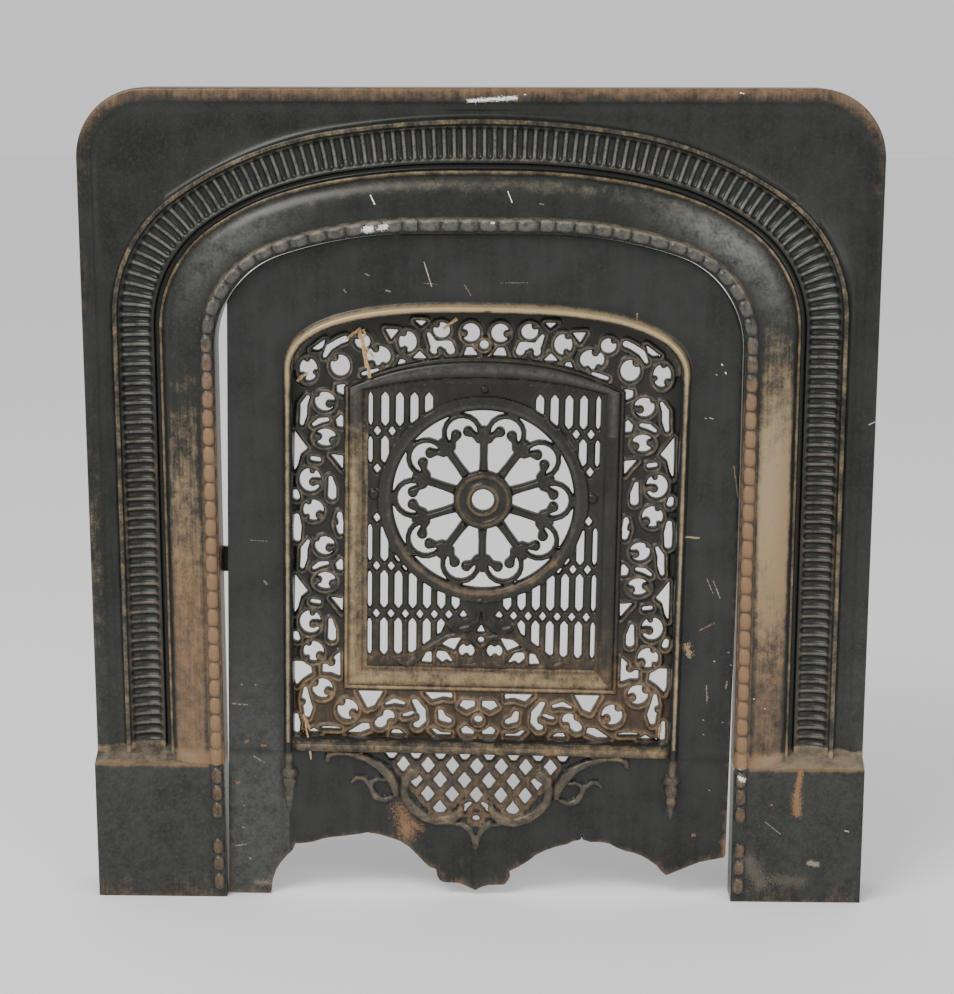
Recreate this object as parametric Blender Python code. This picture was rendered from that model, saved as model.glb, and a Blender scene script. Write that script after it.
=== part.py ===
"""Cast-iron fireplace surround with its loose arched summer cover and pierced grille.

Units in the design are millimetres; meshes are written in metres. +Z is up, the
front faces -Y, and the origin is at the bottom centre of the whole object.
"""
import math

import bpy
import bmesh
from mathutils import Vector
from mathutils.geometry import delaunay_2d_cdt

MM = 0.001
SEAT_GAP = 0.3

# Surround: overall sizes
HALF_WIDTH = 381.0
HEIGHT = 799.0
CORNER_RADIUS = 66.0
WALL = 6.0
PLINTH_DEPTH = 62.0
ARRIS_HEIGHT = 139.0
LEDGE_SLOPE = 0.5
LEDGE_MIN_RISE = 9.0
BAND_FOOT = 156.0
OUTLINE_ANCHOR = 600.0
RETURN_BACK = 29.0

# Surround: stations along a row, from -2 at the floor to 2 at the crown
LEDGE_P = -0.5
CORNER_START = 1.36
CORNER_END = 1.57
FRONT_DEGREES = (0, 12, 24, 36, 48, 60, 71, 80, 85, 90)
BACK_DEGREES = (0, 18, 36, 54, 70, 80, 85, 90)
CORNER_STEPS = 7

# Surround: cross-sections, each as (place along the section, distance behind the plinth's face)
BAND_SECTION = ((38.0, 3.0), (47.0, 7.0), (51.6, 14.5), (54.2, 14.8))
GROOVE_SECTION = ((55.2, 24.0), (59.6, 24.0), (61.0, 20.0))
FILLET_SECTION = ((94.6, 15.0), (95.8, 13.0), (98.6, 13.0), (100.0, 17.0))
RIM_SECTION = ((20.5, 19.5), (14.0, 16.4), (12.0, 14.0), (2.5, 14.0), (0.0, 16.5))
BACK_SECTION = ((95.8, 22.0), (84.6, 31.0), (57.0, 31.0), (45.0, 14.5))
BEAD_FRONT = 1.0
BEAD_FLANK = 3.0
BEAD_NECK = 0.6

# Surround: guide arches (half width, springing height, shoulder and haunch arcs)
OPENING_HALF = 252.2
OPENING_SPRING = 555.4
OPENING_SHOULDER = (93.1, 71.6)
OPENING_HAUNCH = (407.3, 18.1)
BAND_WIDTH = 95.8
BAND_SPRING = 581.6
BAND_SHOULDER = (139.1, 55.0)
BAND_HAUNCH = (357.3, 25.8)

# Surround: bead string on the inner edge
BEAD_PITCH = 18.1
BEAD_INNER = 1.3
BEAD_WIDTH = 12.0
BEAD_PROUD = 5.0
BEAD_STRING_FOOT = 83.0
LOW_BEADS = ((8.0, 26.0), (27.5, 44.5), (45.5, 62.5))

# Surround: fluted cove
FLUTE_PITCH = 9.55
FLUTE_DEPTH = 2.2
FLUTE_FOOT = 156.0
FLUTE_SECTION = ((68.0, 23.2), (84.6, 22.4))

# Summer cover, in its own leaning frame
LEAN = math.radians(0.8)
COVER_GAP = 1.0
COVER_RIGHT_GAP = 5.8
COVER_LEFT_TAPER = 0.0045
COVER_DEGREES = (0, 8, 16, 24, 32, 40, 48, 56, 64, 71, 80, 87, 90)
COVER_THICKNESS = 6.0
COVER_FACE = 54.0
APERTURE_HALF = 186.0
APERTURE_SPRING = 530.0
APERTURE_CROWN = 588.5
ARCH_ACROSS = 0.72
ARCH_UP = 0.84
MOULD_CREST = 4.5
MOULD_WIDTH = 10.0
MOULD_PROUD = 8.0
MOULD_FOOT = 128.0
BAR_BOTTOM = 149.5
BAR_TOP = 163.5
BAR_PROUD = 10.0
PENDANT_X = 190.0
PENDANT_PROUD = 6.0
SCROLL_PROUD = 4.0
SCROLL_HALF_WIDTH = 4.0
BASKET_CENTRE = -3.5
BASKET_PITCH = 24.3
BASKET_ROW = 15.0
BASKET_TOP = 136.0
BASKET_MESH = (6.5, 8.5)
BASKET_ROWS = ((7, 1.0), (6, 1.0), (5, 1.0), (2, 3.0))
BASKET_HALVES = 6
FOOT_RIGHT = -209.0
LUG_HEIGHTS = (325.0, 350.0)
LUG_THICKNESS = 5.0
LUG_REACH = 10.0
LUG_CLEAR = 0.5

# Grille panel, in the cover's frame
GRILLE_CENTRE = -1.8
GRILLE_BASE = 42.0
GRILLE_THICKNESS = 5.0
BORDER_RISE = 1.5
SEAT_WIDTH = 6.0
SEAT_STEP = 0.9
RAIL_OUTER = 134.5
RAIL_WIDTH = 22.0
RAIL_BOTTOM = 212.0
RAIL_FOOT_WIDTH = 24.0
RAIL_CROWN = 545.0
RAIL_CROWN_WIDTH = 25.0
RAIL_FALL = (31.0, 17.0)
RAIL_CURVE = 2.3
RAIL_INSETS = (-1.5, 0.0, 4.0, 22.0)
WHEEL_HEIGHT = 405.0
WHEEL_OUTER = 102.0
WHEEL_OPENING = 88.0
WHEEL_RIDGE = 93.0
HUB_OUTER = 29.0
HUB_HOLE = 10.4
HUB_RING = 17.0
SPOKES = 10
LATTICE_PITCH = 14.2
LATTICE_SLOT = 8.0
LATTICE_TIP = 4.0
SLOT_START = 25.4
DIAMOND_START = 17.6
DIAMOND_HEIGHT = 4.6
SLOT_ROWS = ((250.0, 280.0, 2), (298.0, 328.0, 0), (345.0, 375.0, 4), (443.0, 462.0, 4), (480.0, 505.0, 2))
DIAMOND_ROWS = ((288.3, 0), (336.5, 4), (471.0, 5))
SLOT_COLUMNS = 6
DIAMOND_COLUMNS = 7

# Grille border: openings right of its centre line, as (across, height, radius) or loops
BORDER_PERIOD = 143.0
STRIP_EYES = ((154.5, 499.0, 9.0), (153.5, 464.0, 8.5), (168.4, 421.5, 10.0), (165.2, 391.4, 9.4))
STRIP_SLOTS = ((140.0, 480.0, 3.5, 6.0), (147.2, 414.0, 3.5, 10.0))
STRIP_GAPS = (
    ((183.6, 470.0), (171.5, 452.6), (184.0, 431.0)),
    ((148.6, 447.0), (136.6, 446.0), (136.6, 432.0)),
)
LINK_GAPS = (
    ((183.6, 388.0), (177.6, 375.0), (184.0, 361.0)),
    ((139.0, 389.0), (137.4, 370.0), (143.6, 379.0)),
)
CORNER_EYES = ((156.4, 210.4, 9.4), (131.4, 189.0, 9.8), (93.5, 179.5, 8.4), (59.6, 186.0, 8.0))
CORNER_GAPS = (
    ((184.0, 238.0), (168.0, 233.0), (167.0, 226.0), (182.4, 213.0)),
    ((139.2, 248.0), (156.0, 235.4), (156.2, 226.6), (139.2, 223.0)),
    ((173.6, 211.0), (169.6, 196.0), (172.0, 181.0), (176.0, 196.0)),
)
FOOT_GAPS = (
    ((120.0, 208.6), (95.0, 208.6), (107.4, 191.0)),
    ((131.0, 164.8), (112.0, 176.0), (110.0, 165.4)),
    ((91.4, 195.4), (83.4, 201.0), (74.8, 195.8)),
    ((54.0, 208.4), (26.4, 208.4), (30.0, 201.6)),
    ((39.0, 189.0), (27.4, 178.6), (38.0, 179.0)),
    ((20.0, 194.0), (14.0, 201.6), (4.0, 199.0)),
    ((17.2, 170.0), (12.2, 174.6), (4.2, 166.0)),
)
TOP_EYES = ((14.2, 568.4, 8.0), (42.2, 570.2, 7.0), (74.6, 558.4, 8.4), (102.6, 544.4, 9.8),
            (139.4, 534.4, 9.2), (170.0, 530.0, 9.0), (118.0, 558.0, 6.4))
TOP_GAPS = (
    ((6.2, 545.6), (20.8, 545.6), (17.6, 554.2), (12.6, 554.2)),
    ((30.0, 551.0), (36.0, 549.0), (43.5, 554.6), (50.0, 549.0), (55.0, 566.0), (34.0, 559.0)),
    ((56.0, 542.8), (70.0, 542.4), (63.0, 549.6)),
    ((154.6, 544.0), (149.6, 553.4), (136.0, 561.0), (147.0, 549.0)),
)
ROSETTE = (182.0, 4.5)
EYE_SIDES = 5

# Twine ties
TWINE_RADIUS = 1.2
TWINE_CLEAR = 0.5

FRONT_PROUD = PLINTH_DEPTH + BEAD_PROUD
BACK_Y = FRONT_PROUD / 2


def clear_scene():
    """Remove every object of the start-up scene."""
    for old in list(bpy.data.objects):
        bpy.data.objects.remove(old, do_unlink=True)


def material(name, colour, roughness, metallic):
    """Return a Principled material."""
    mat = bpy.data.materials.new(name)
    mat.use_nodes = True
    shader = mat.node_tree.nodes["Principled BSDF"]
    shader.inputs["Base Color"].default_value = (*colour, 1.0)
    shader.inputs["Roughness"].default_value = roughness
    shader.inputs["Metallic"].default_value = metallic
    return mat


def place(front, x, z):
    """Return the point, in metres, that lies `front` mm before the back plane."""
    return Vector((x * MM, (BACK_Y - front) * MM, z * MM))


def finish_object(name, bm, mat, parent=None, sharp=35.0):
    """Turn a bmesh into a named, shaded object."""
    bmesh.ops.recalc_face_normals(bm, faces=bm.faces[:])
    mesh = bpy.data.meshes.new(name)
    bm.to_mesh(mesh)
    bm.free()
    mesh.materials.append(mat)
    mesh.shade_smooth()
    mesh.set_sharp_from_angle(angle=math.radians(sharp))
    obj = bpy.data.objects.new(name, mesh)
    bpy.context.collection.objects.link(obj)
    obj.parent = parent
    return obj


class Arch:
    """Left half of a five-centred arch, followed by the angle of its normal."""

    def __init__(self, half, spring, shoulder, haunch):
        self.half = half
        self.spring = spring
        self.r1 = shoulder[0]
        self.r2 = haunch[0]
        self.t1 = math.radians(shoulder[1])
        self.t2 = self.t1 + math.radians(haunch[1])
        self.c1 = Vector((-half + self.r1, spring))
        self.c2 = self.c1 + (self.r1 - self.r2) * self.ray(self.t1)
        end = self.c2 + self.r2 * self.ray(self.t2)
        self.r3 = -end.x / math.cos(self.t2)
        self.c3 = end - self.r3 * self.ray(self.t2)

    @staticmethod
    def ray(angle):
        """Return the outward normal at an angle from the horizontal."""
        return Vector((-math.cos(angle), math.sin(angle)))

    def at(self, angle):
        """Return the point whose normal makes this angle."""
        if angle < self.t1:
            return self.c1 + self.r1 * self.ray(angle)
        if angle < self.t2:
            return self.c2 + self.r2 * self.ray(angle)
        return self.c3 + self.r3 * self.ray(angle)


OPENING = Arch(OPENING_HALF, OPENING_SPRING, OPENING_SHOULDER, OPENING_HAUNCH)
BAND = Arch(OPENING_HALF + BAND_WIDTH, BAND_SPRING, BAND_SHOULDER, BAND_HAUNCH)


def on_arch(w, p):
    """Return (x, z) at w mm outside the opening, for p from 0 (foot) to 2 (crown)."""
    share = w / BAND_WIDTH
    if p <= 1.0:
        spring = OPENING.spring + (BAND.spring - OPENING.spring) * share
        return -(OPENING_HALF + w), BAND_FOOT + (spring - BAND_FOOT) * p
    angle = (p - 1.0) * math.pi / 2
    spot = OPENING.at(angle).lerp(BAND.at(angle), share)
    return spot.x, spot.y


def on_outline(inset, p):
    """Return (x, z) at `inset` mm inside the outer outline, for p from 0 to 2."""
    radius = CORNER_RADIUS - inset
    cx = -HALF_WIDTH + CORNER_RADIUS
    cz = HEIGHT - CORNER_RADIUS
    if p <= 1.0:
        return -HALF_WIDTH + inset, BAND_FOOT + (OUTLINE_ANCHOR - BAND_FOOT) * p
    if p <= CORNER_START:
        share = (p - 1.0) / (CORNER_START - 1.0)
        return -HALF_WIDTH + inset, OUTLINE_ANCHOR + (cz - OUTLINE_ANCHOR) * share
    if p <= CORNER_END:
        angle = math.pi / 2 * (p - CORNER_START) / (CORNER_END - CORNER_START)
        return cx - radius * math.cos(angle), cz + radius * math.sin(angle)
    share = (p - CORNER_END) / (2.0 - CORNER_END)
    return cx * (1.0 - share), HEIGHT - inset


class Row:
    """One lengthwise line of the casting, from the left foot over to the right foot."""

    def __init__(self, track, offset, front, hidden=False, straight=False):
        self.track = track
        self.offset = offset
        self.front = front
        self.hidden = hidden
        self.straight = straight

    def half_point(self, p):
        """Return (x, front, z) on the left half; p is -2 at the floor, -1 at the arris."""
        wall = WALL if self.hidden else 0.0
        arris = ARRIS_HEIGHT - wall
        plinth = self.front if self.straight else PLINTH_DEPTH - wall
        rise = LEDGE_SLOPE * (plinth - self.front)
        ledge = arris + (rise if rise > 0 else LEDGE_MIN_RISE)
        if p >= 0.0:
            x, z = self.track(self.offset, p)
            return x, self.front, z
        x, foot = self.track(self.offset, 0.0)
        if p <= -1.0:
            return x, plinth, arris * (p + 2.0)
        if p <= LEDGE_P:
            share = (p + 1.0) / (LEDGE_P + 1.0)
            return x, plinth + (self.front - plinth) * share, arris + (ledge - arris) * share
        share = (p - LEDGE_P) / -LEDGE_P
        return x, self.front, ledge + (foot - ledge) * share

    def point(self, p):
        """Return (x, front, z) for p from -2 to 6; the right half mirrors the left."""
        if p > 2.0:
            x, front, z = self.half_point(4.0 - p)
            return -x, front, z
        return self.half_point(p)


def mirrored(stations):
    """Return left-half stations followed by their mirror images."""
    return stations + [4.0 - p for p in reversed(stations) if p < 2.0]


def arch_stations(degrees):
    """Return the coarse stations of the arch rows."""
    return mirrored([-2.0, -1.0, LEDGE_P] + [1.0 + d / 90.0 for d in degrees])


def outline_stations():
    """Return the coarse stations of the outline rows, close together round the corner."""
    span = CORNER_END - CORNER_START
    corner = [CORNER_START + span * i / CORNER_STEPS for i in range(CORNER_STEPS + 1)]
    return mirrored([-2.0, -1.0, LEDGE_P] + corner + [2.0])


def station_finder(row, first, steps=1200):
    """Return a function from length along a row (mm above the floor) to its station."""
    table = []
    length = 0.0
    last = None
    for i in range(steps + 1):
        p = first + (2.0 - first) * i / steps
        x, _, z = row.half_point(p)
        if last is None:
            length = z
        else:
            length += math.hypot(x - last[0], z - last[1])
        last = (x, z)
        table.append((length, p))

    def find(target):
        for (la, pa), (lb, pb) in zip(table, table[1:]):
            if target <= lb:
                return pa + (pb - pa) * (target - la) / (lb - la)
        return 2.0

    return find, length


def bead_spans():
    """Return the (start, end) length of each bead on the left half of the string."""
    centre = Row(on_arch, BEAD_INNER + BEAD_WIDTH / 2, PLINTH_DEPTH - BEAD_FRONT)
    find, total = station_finder(centre, -2.0)
    run = total - BEAD_STRING_FOOT
    count = round(run / BEAD_PITCH)
    pitch = run / count
    spans = list(LOW_BEADS)
    spans += [(BEAD_STRING_FOOT + i * pitch, BEAD_STRING_FOOT + (i + 1) * pitch) for i in range(count)]
    return find, spans


def bead_stations():
    """Return (station, lift) pairs along one line of the bead string."""
    find, spans = bead_spans()
    marks = {}
    for start, end in spans:
        quarter = (end - start) * 0.24
        marks[find(start)] = BEAD_NECK
        marks[find(start + quarter)] = BEAD_PROUD
        marks[find(end - quarter)] = BEAD_PROUD
        marks.setdefault(find(end), BEAD_NECK)
    left = [(-2.0, 0.0)] + sorted(marks.items())
    return left + [(4.0 - p, lift) for p, lift in reversed(left) if p < 2.0 - 1e-6]


def flute_stations():
    """Return (station, depth) pairs along the fluted cove: ribs at 0, flutes at full depth."""
    (inner, behind), (outer, _) = FLUTE_SECTION
    centre = Row(on_arch, (inner + outer) / 2, PLINTH_DEPTH - behind)
    find, total = station_finder(centre, LEDGE_P)
    run = total - FLUTE_FOOT
    count = round(run / FLUTE_PITCH - 0.5)
    pitch = run / (count + 0.5)
    left = [(-2.0, 0.0), (-1.0, 0.0), (LEDGE_P, 0.0)]
    for i in range(count + 1):
        left.append((find(FLUTE_FOOT + i * pitch), 0.0))
        left.append((find(FLUTE_FOOT + (i + 0.5) * pitch), FLUTE_DEPTH))
    return left[:-1] + [(2.0, FLUTE_DEPTH)] + [(4.0 - p, d) for p, d in reversed(left[:-1])]


def add_row(bm, row, stations, lifts=None):
    """Add a row's vertices and return (station, vertex) pairs."""
    pairs = []
    for i, p in enumerate(stations):
        x, front, z = row.point(p)
        lift = lifts[i] if lifts else 0.0
        pairs.append((p, bm.verts.new(place(front + lift, x, z))))
    return pairs


def zip_rows(bm, first, second):
    """Fill the strip between two rows, which may hold different numbers of stations."""
    i = 0
    j = 0
    while i < len(first) - 1 or j < len(second) - 1:
        pa, va = first[i]
        pb, vb = second[j]
        more_a = i < len(first) - 1
        more_b = j < len(second) - 1
        if more_a and more_b and abs(first[i + 1][0] - second[j + 1][0]) < 1e-6:
            bm.faces.new((va, first[i + 1][1], second[j + 1][1], vb))
            i += 1
            j += 1
        elif more_a and (not more_b or first[i + 1][0] < second[j + 1][0]):
            bm.faces.new((va, first[i + 1][1], vb))
            i += 1
        else:
            bm.faces.new((va, second[j + 1][1], vb))
            j += 1


def build_surround(mat):
    """Build the one-piece casting: shell, bead string, fluted cove, plinth blocks."""
    bm = bmesh.new()
    arch = arch_stations(FRONT_DEGREES)
    inner = arch_stations(BACK_DEGREES)
    outline = outline_stations()
    beads = bead_stations()
    flutes = flute_stations()
    depth = PLINTH_DEPTH
    bead_outer = BEAD_INNER + BEAD_WIDTH
    rows = []

    def arch_row(w, behind, **kind):
        stations = inner if kind.get("hidden") else arch
        rows.append(add_row(bm, Row(on_arch, w, depth - behind, **kind), stations))

    def outline_row(inset, behind, **kind):
        rows.append(add_row(bm, Row(on_outline, inset, depth - behind, **kind), outline))

    def fine_row(w, behind, stations, sign):
        lifts = [sign * value for _, value in stations]
        rows.append(add_row(bm, Row(on_arch, w, depth - behind), [p for p, _ in stations], lifts))

    # Inner return and bead string
    arch_row(0.0, depth - RETURN_BACK, straight=True)
    arch_row(0.0, BEAD_FRONT + 0.5)
    arch_row(BEAD_INNER, BEAD_FRONT)
    fine_row(BEAD_INNER + BEAD_FLANK, BEAD_FRONT, beads, 1.0)
    fine_row(bead_outer - BEAD_FLANK, BEAD_FRONT, beads, 1.0)
    arch_row(bead_outer, BEAD_FRONT)
    # Smooth band, groove, fluted cove and outer fillet
    for w, behind in BAND_SECTION + GROOVE_SECTION:
        arch_row(w, behind)
    for w, behind in FLUTE_SECTION:
        fine_row(w, behind, flutes, -1.0)
    for w, behind in FILLET_SECTION:
        arch_row(w, behind)
    # Rim and sides, then the back of the shell
    for inset, behind in RIM_SECTION:
        outline_row(inset, behind)
    outline_row(0.0, depth, straight=True)
    outline_row(WALL, depth, straight=True)
    outline_row(WALL, RIM_SECTION[0][1] + 1.5, hidden=True)
    for w, behind in BACK_SECTION:
        arch_row(w, behind, hidden=True)
    arch_row(WALL, WALL + 1.5, hidden=True)
    arch_row(WALL, depth - RETURN_BACK, straight=True)

    for first, second in zip(rows, rows[1:] + rows[:1]):
        zip_rows(bm, first, second)
    for end in (0, -1):
        bm.faces.new([row[end][1] for row in rows])
    return finish_object("surround", bm, mat)


def anticlockwise(loop):
    """Return the loop in anticlockwise order."""
    area = sum(a[0] * b[1] - b[0] * a[1] for a, b in zip(loop, loop[1:] + loop[:1]))
    return loop if area > 0 else loop[::-1]


class Layers:
    """A flat drawing of overlapping solid and open shapes, later ones on top."""

    def __init__(self):
        self.shapes = []
        self.creases = []

    def solid(self, loop):
        """Lay down a solid shape."""
        self.shapes.append((anticlockwise(loop), True))

    def open(self, loop):
        """Cut an opening."""
        self.shapes.append((anticlockwise(loop), False))

    def crease(self, line, closed=True):
        """Add a line that the front follows without changing what is solid."""
        self.creases.append((line, closed))

    def triangulate(self):
        """Return the drawing's points and its solid triangles."""
        points = []
        edges = []
        faces = []
        for loop, _ in self.shapes:
            start = len(points)
            points += [Vector(p) for p in loop]
            faces.append(list(range(start, len(points))))
        for line, closed in self.creases:
            start = len(points)
            points += [Vector(p) for p in line]
            count = len(line)
            edges += [(start + i, start + i + 1) for i in range(count - 1)]
            if closed:
                edges.append((start + count - 1, start))
        verts, _, tris, _, _, covers = delaunay_2d_cdt(points, edges, faces, 0, 1e-3)
        kept = []
        for tri, cover in zip(tris, covers):
            state = False
            for index in sorted(set(cover)):
                state = self.shapes[index][1]
            if state:
                kept.append(tri)
        return verts, kept


def border_edges(tris):
    """Return the directed edges that only one triangle uses."""
    edges = {}
    for tri in tris:
        for a, b in zip(tri, tri[1:] + tri[:1]):
            edges[(a, b)] = True
    return [(a, b) for a, b in edges if (b, a) not in edges]


def back_triangles(verts, edges):
    """Triangulate the back from the border alone; returns triangles of vertex indices."""
    used = sorted({i for edge in edges for i in edge})
    slot = {v: k for k, v in enumerate(used)}
    flat = [verts[v] for v in used]
    lines = [(slot[a], slot[b]) for a, b in edges]
    out, _, tris, origin, _, _ = delaunay_2d_cdt(flat, lines, [], 0, 1e-5)
    kept = []
    for tri in tris:
        centre = (out[tri[0]] + out[tri[1]] + out[tri[2]]) / 3
        inside = False
        for a, b in lines:
            pa = flat[a]
            pb = flat[b]
            if (pa.y > centre.y) != (pb.y > centre.y):
                if centre.x < pa.x + (pb.x - pa.x) * (centre.y - pa.y) / (pb.y - pa.y):
                    inside = not inside
        if inside:
            kept.append([used[origin[i][0]] for i in tri])
    return kept


def relief_plate(name, layers, front, back, mat, parent):
    """Build a pierced plate whose front height follows a function of (x, z)."""
    verts, tris = layers.triangulate()
    edges = border_edges(tris)
    bm = bmesh.new()
    fore = {}
    rear = {}
    for i in sorted({i for tri in tris for i in tri}):
        fore[i] = bm.verts.new(place(front(verts[i].x, verts[i].y), verts[i].x, verts[i].y))
    for i in sorted({i for edge in edges for i in edge}):
        rear[i] = bm.verts.new(place(back, verts[i].x, verts[i].y))
    for tri in tris:
        bm.faces.new([fore[i] for i in tri])
    for tri in back_triangles(verts, edges):
        bm.faces.new([rear[i] for i in tri])
    for a, b in edges:
        bm.faces.new((fore[b], fore[a], rear[a], rear[b]))
    return finish_object(name, bm, mat, parent)


def ellipse(cx, cz, rx, rz, sides, turn=0.0):
    """Return a regular loop round a centre."""
    return [(cx + rx * math.cos(turn + math.tau * i / sides),
             cz + rz * math.sin(turn + math.tau * i / sides)) for i in range(sides)]


def ramp(value, table):
    """Return a height from (distance, height) pairs, straight between them."""
    if value <= table[0][0]:
        return table[0][1]
    for (a, ha), (b, hb) in zip(table, table[1:]):
        if value <= b:
            return ha + (hb - ha) * (value - a) / (b - a)
    return table[-1][1]


def rail_top(x, crown, fall):
    """Return the height of an arched rail edge at x."""
    return crown - fall * (abs(x - GRILLE_CENTRE) / RAIL_OUTER) ** RAIL_CURVE


def rail_loop(inset):
    """Return the picture frame's loop at an inset from its outer edge."""
    half = RAIL_OUTER - inset
    share = inset / RAIL_WIDTH
    low = RAIL_BOTTOM + RAIL_FOOT_WIDTH * share
    crown = RAIL_CROWN - RAIL_CROWN_WIDTH * share
    fall = RAIL_FALL[0] + (RAIL_FALL[1] - RAIL_FALL[0]) * share
    loop = [(GRILLE_CENTRE - half, low), (GRILLE_CENTRE + half, low)]
    steps = 8
    for i in range(steps + 1):
        x = GRILLE_CENTRE + half * (1.0 - 2.0 * i / steps)
        loop.append((x, rail_top(x, crown, fall)))
    return loop


def rail_inset(x, z):
    """Return how far a point lies inside the frame's outer edge, up to the rail width."""
    side = RAIL_OUTER - abs(x - GRILLE_CENTRE)
    low = (z - RAIL_BOTTOM) * RAIL_WIDTH / RAIL_FOOT_WIDTH
    outer = rail_top(x, RAIL_CROWN, RAIL_FALL[0])
    inner = rail_top(x, RAIL_CROWN - RAIL_CROWN_WIDTH, RAIL_FALL[1])
    high = (outer - z) * RAIL_WIDTH / (outer - inner)
    return min(side, low, high)


RAIL_PROFILE = ((-1.5, BORDER_RISE), (0.0, 3.6), (4.0, 5.2), (6.0, 4.6), (RAIL_WIDTH, 0.4))
WHEEL_PROFILE = ((WHEEL_OPENING, 1.0), (WHEEL_RIDGE, 4.6), (WHEEL_OUTER, 2.0))
HUB_PROFILE = ((HUB_HOLE, 4.0), (HUB_RING, 4.5), (HUB_OUTER, 2.4))


def in_aperture(x, z, grow):
    """Return whether a point lies inside the aperture's outline grown by `grow`."""
    half = APERTURE_HALF + grow
    if z < BAR_TOP - grow:
        return False
    if z <= APERTURE_SPRING:
        return abs(x) < half
    rise = APERTURE_CROWN + grow - APERTURE_SPRING
    across = abs(x) / half
    up = (z - APERTURE_SPRING) / rise
    return across ** (2 / ARCH_ACROSS) + up ** (2 / ARCH_UP) < 1.0


def grille_front(x, z):
    """Return the height of the grille's front."""
    if not in_aperture(x, z, SEAT_STEP):
        return COVER_FACE - COVER_THICKNESS - SEAT_GAP
    rail = ramp(rail_inset(x, z), RAIL_PROFILE)
    radius = math.hypot(x - GRILLE_CENTRE, z - WHEEL_HEIGHT)
    wheel = ramp(radius, WHEEL_PROFILE) if radius > WHEEL_OPENING - 2 else 2.0
    if radius <= HUB_OUTER + 1.0:
        wheel = ramp(radius, HUB_PROFILE)
    return GRILLE_BASE + max(rail, wheel if radius < WHEEL_OUTER + 2.0 else 0.0)


def both_sides(centre, loop):
    """Return a loop drawn right of a centre line, and its mirror image."""
    return [[(centre + side * x, z) for x, z in loop] for side in (-1, 1)]


def lattice_openings(layers):
    """Cut the tall pointed slots and the small diamonds of the frame's field."""
    half = LATTICE_SLOT / 2
    for low, high, first in SLOT_ROWS:
        for column in range(first, SLOT_COLUMNS):
            u = SLOT_START + column * LATTICE_PITCH
            slot = [(u, low - LATTICE_TIP), (u + half, low), (u + half, high), (u, high + LATTICE_TIP),
                    (u - half, high), (u - half, low)]
            for loop in both_sides(GRILLE_CENTRE, slot):
                layers.open(loop)
    for z, first in DIAMOND_ROWS:
        for column in range(first, DIAMOND_COLUMNS):
            diamond = ellipse(DIAMOND_START + column * LATTICE_PITCH, z, half, DIAMOND_HEIGHT, 4)
            for loop in both_sides(GRILLE_CENTRE, diamond):
                layers.open(loop)


def field_foot(layers):
    """Lay the scrollwork at the foot of the field over the lattice and pierce it."""
    c = GRILLE_CENTRE
    layers.solid([(c - 68, 232), (c + 68, 232), (c + 60, 246), (c + 40, 259), (c + 24, 272), (c + 36, 283),
                  (c + 8, 287), (c, 306), (c - 8, 287), (c - 36, 283), (c - 24, 272), (c - 40, 259),
                  (c - 60, 246)])
    for side in (-1, 1):
        layers.open(ellipse(c + side * 13.5, 252, 6.5, 6.5, 6))
        layers.open([(c + side * 24, 241), (c + side * 36, 240), (c + side * 38, 251), (c + side * 30, 251)])
        layers.open([(c + side * 43, 240), (c + side * 54, 241), (c + side * 44, 250)])
        layers.open([(c + side * 20, 267), (c + side * 35, 259), (c + side * 24, 257)])
    layers.open(ellipse(c, 275, 4, 4, 4))
    layers.open(ellipse(c, 263, 3, 3, 4))


def wheel_openings(layers):
    """Cut the wheel: ten spokes, each petal arc with its pair of balls, and the hub."""
    c = GRILLE_CENTRE
    outer = ellipse(c, WHEEL_HEIGHT, WHEEL_OUTER, WHEEL_OUTER, 30, math.pi / 2)
    layers.solid(outer)
    layers.crease(ellipse(c, WHEEL_HEIGHT, WHEEL_RIDGE, WHEEL_RIDGE, 20, math.pi / 2))

    def polar(radius, degrees):
        angle = math.radians(degrees)
        return c + radius * math.sin(angle), WHEEL_HEIGHT + radius * math.cos(angle)

    for k in range(SPOKES):
        axis = 360.0 / SPOKES * (k + 0.5)
        inner = ((31, -9), (31, 9), (60, 13), (66, 9), (61, 0), (66, -9), (60, -13))
        crescent = ((74, -8), (72, 0), (74, 8), (82, 5), (82, -5))
        layers.open([polar(r, axis + a) for r, a in inner])
        layers.open([polar(r, axis + a) for r, a in crescent])
        gap = axis + 180.0 / SPOKES
        layers.open([polar(WHEEL_OPENING, gap - 8), polar(WHEEL_OPENING, gap + 8), polar(71, gap)])
    layers.open(ellipse(c, WHEEL_HEIGHT, HUB_HOLE, HUB_HOLE, 10))
    layers.crease(ellipse(c, WHEEL_HEIGHT, HUB_RING, HUB_RING, 10))


def eye_loop(eye):
    """Return the loop of a round border opening."""
    x, z, radius = eye
    return ellipse(x, z, radius, radius, EYE_SIDES, 0.3)


def border_openings(layers):
    """Pierce the scroll border: side strips, corners, foot and arched top."""
    unit = [eye_loop(eye) for eye in STRIP_EYES]
    unit += [ellipse(x, z, rx, rz, 4) for x, z, rx, rz in STRIP_SLOTS]
    unit += STRIP_GAPS
    lower = [[(x, z - BORDER_PERIOD) for x, z in loop] for loop in unit]
    eyes = [eye_loop(eye) for eye in CORNER_EYES + TOP_EYES]
    gaps = list(LINK_GAPS + CORNER_GAPS + FOOT_GAPS + TOP_GAPS)
    for drawn in unit + lower + eyes + gaps:
        for loop in both_sides(GRILLE_CENTRE, drawn):
            layers.open(loop)
    height, radius = ROSETTE
    layers.open(ellipse(GRILLE_CENTRE, height, radius, radius, 5))


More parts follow.
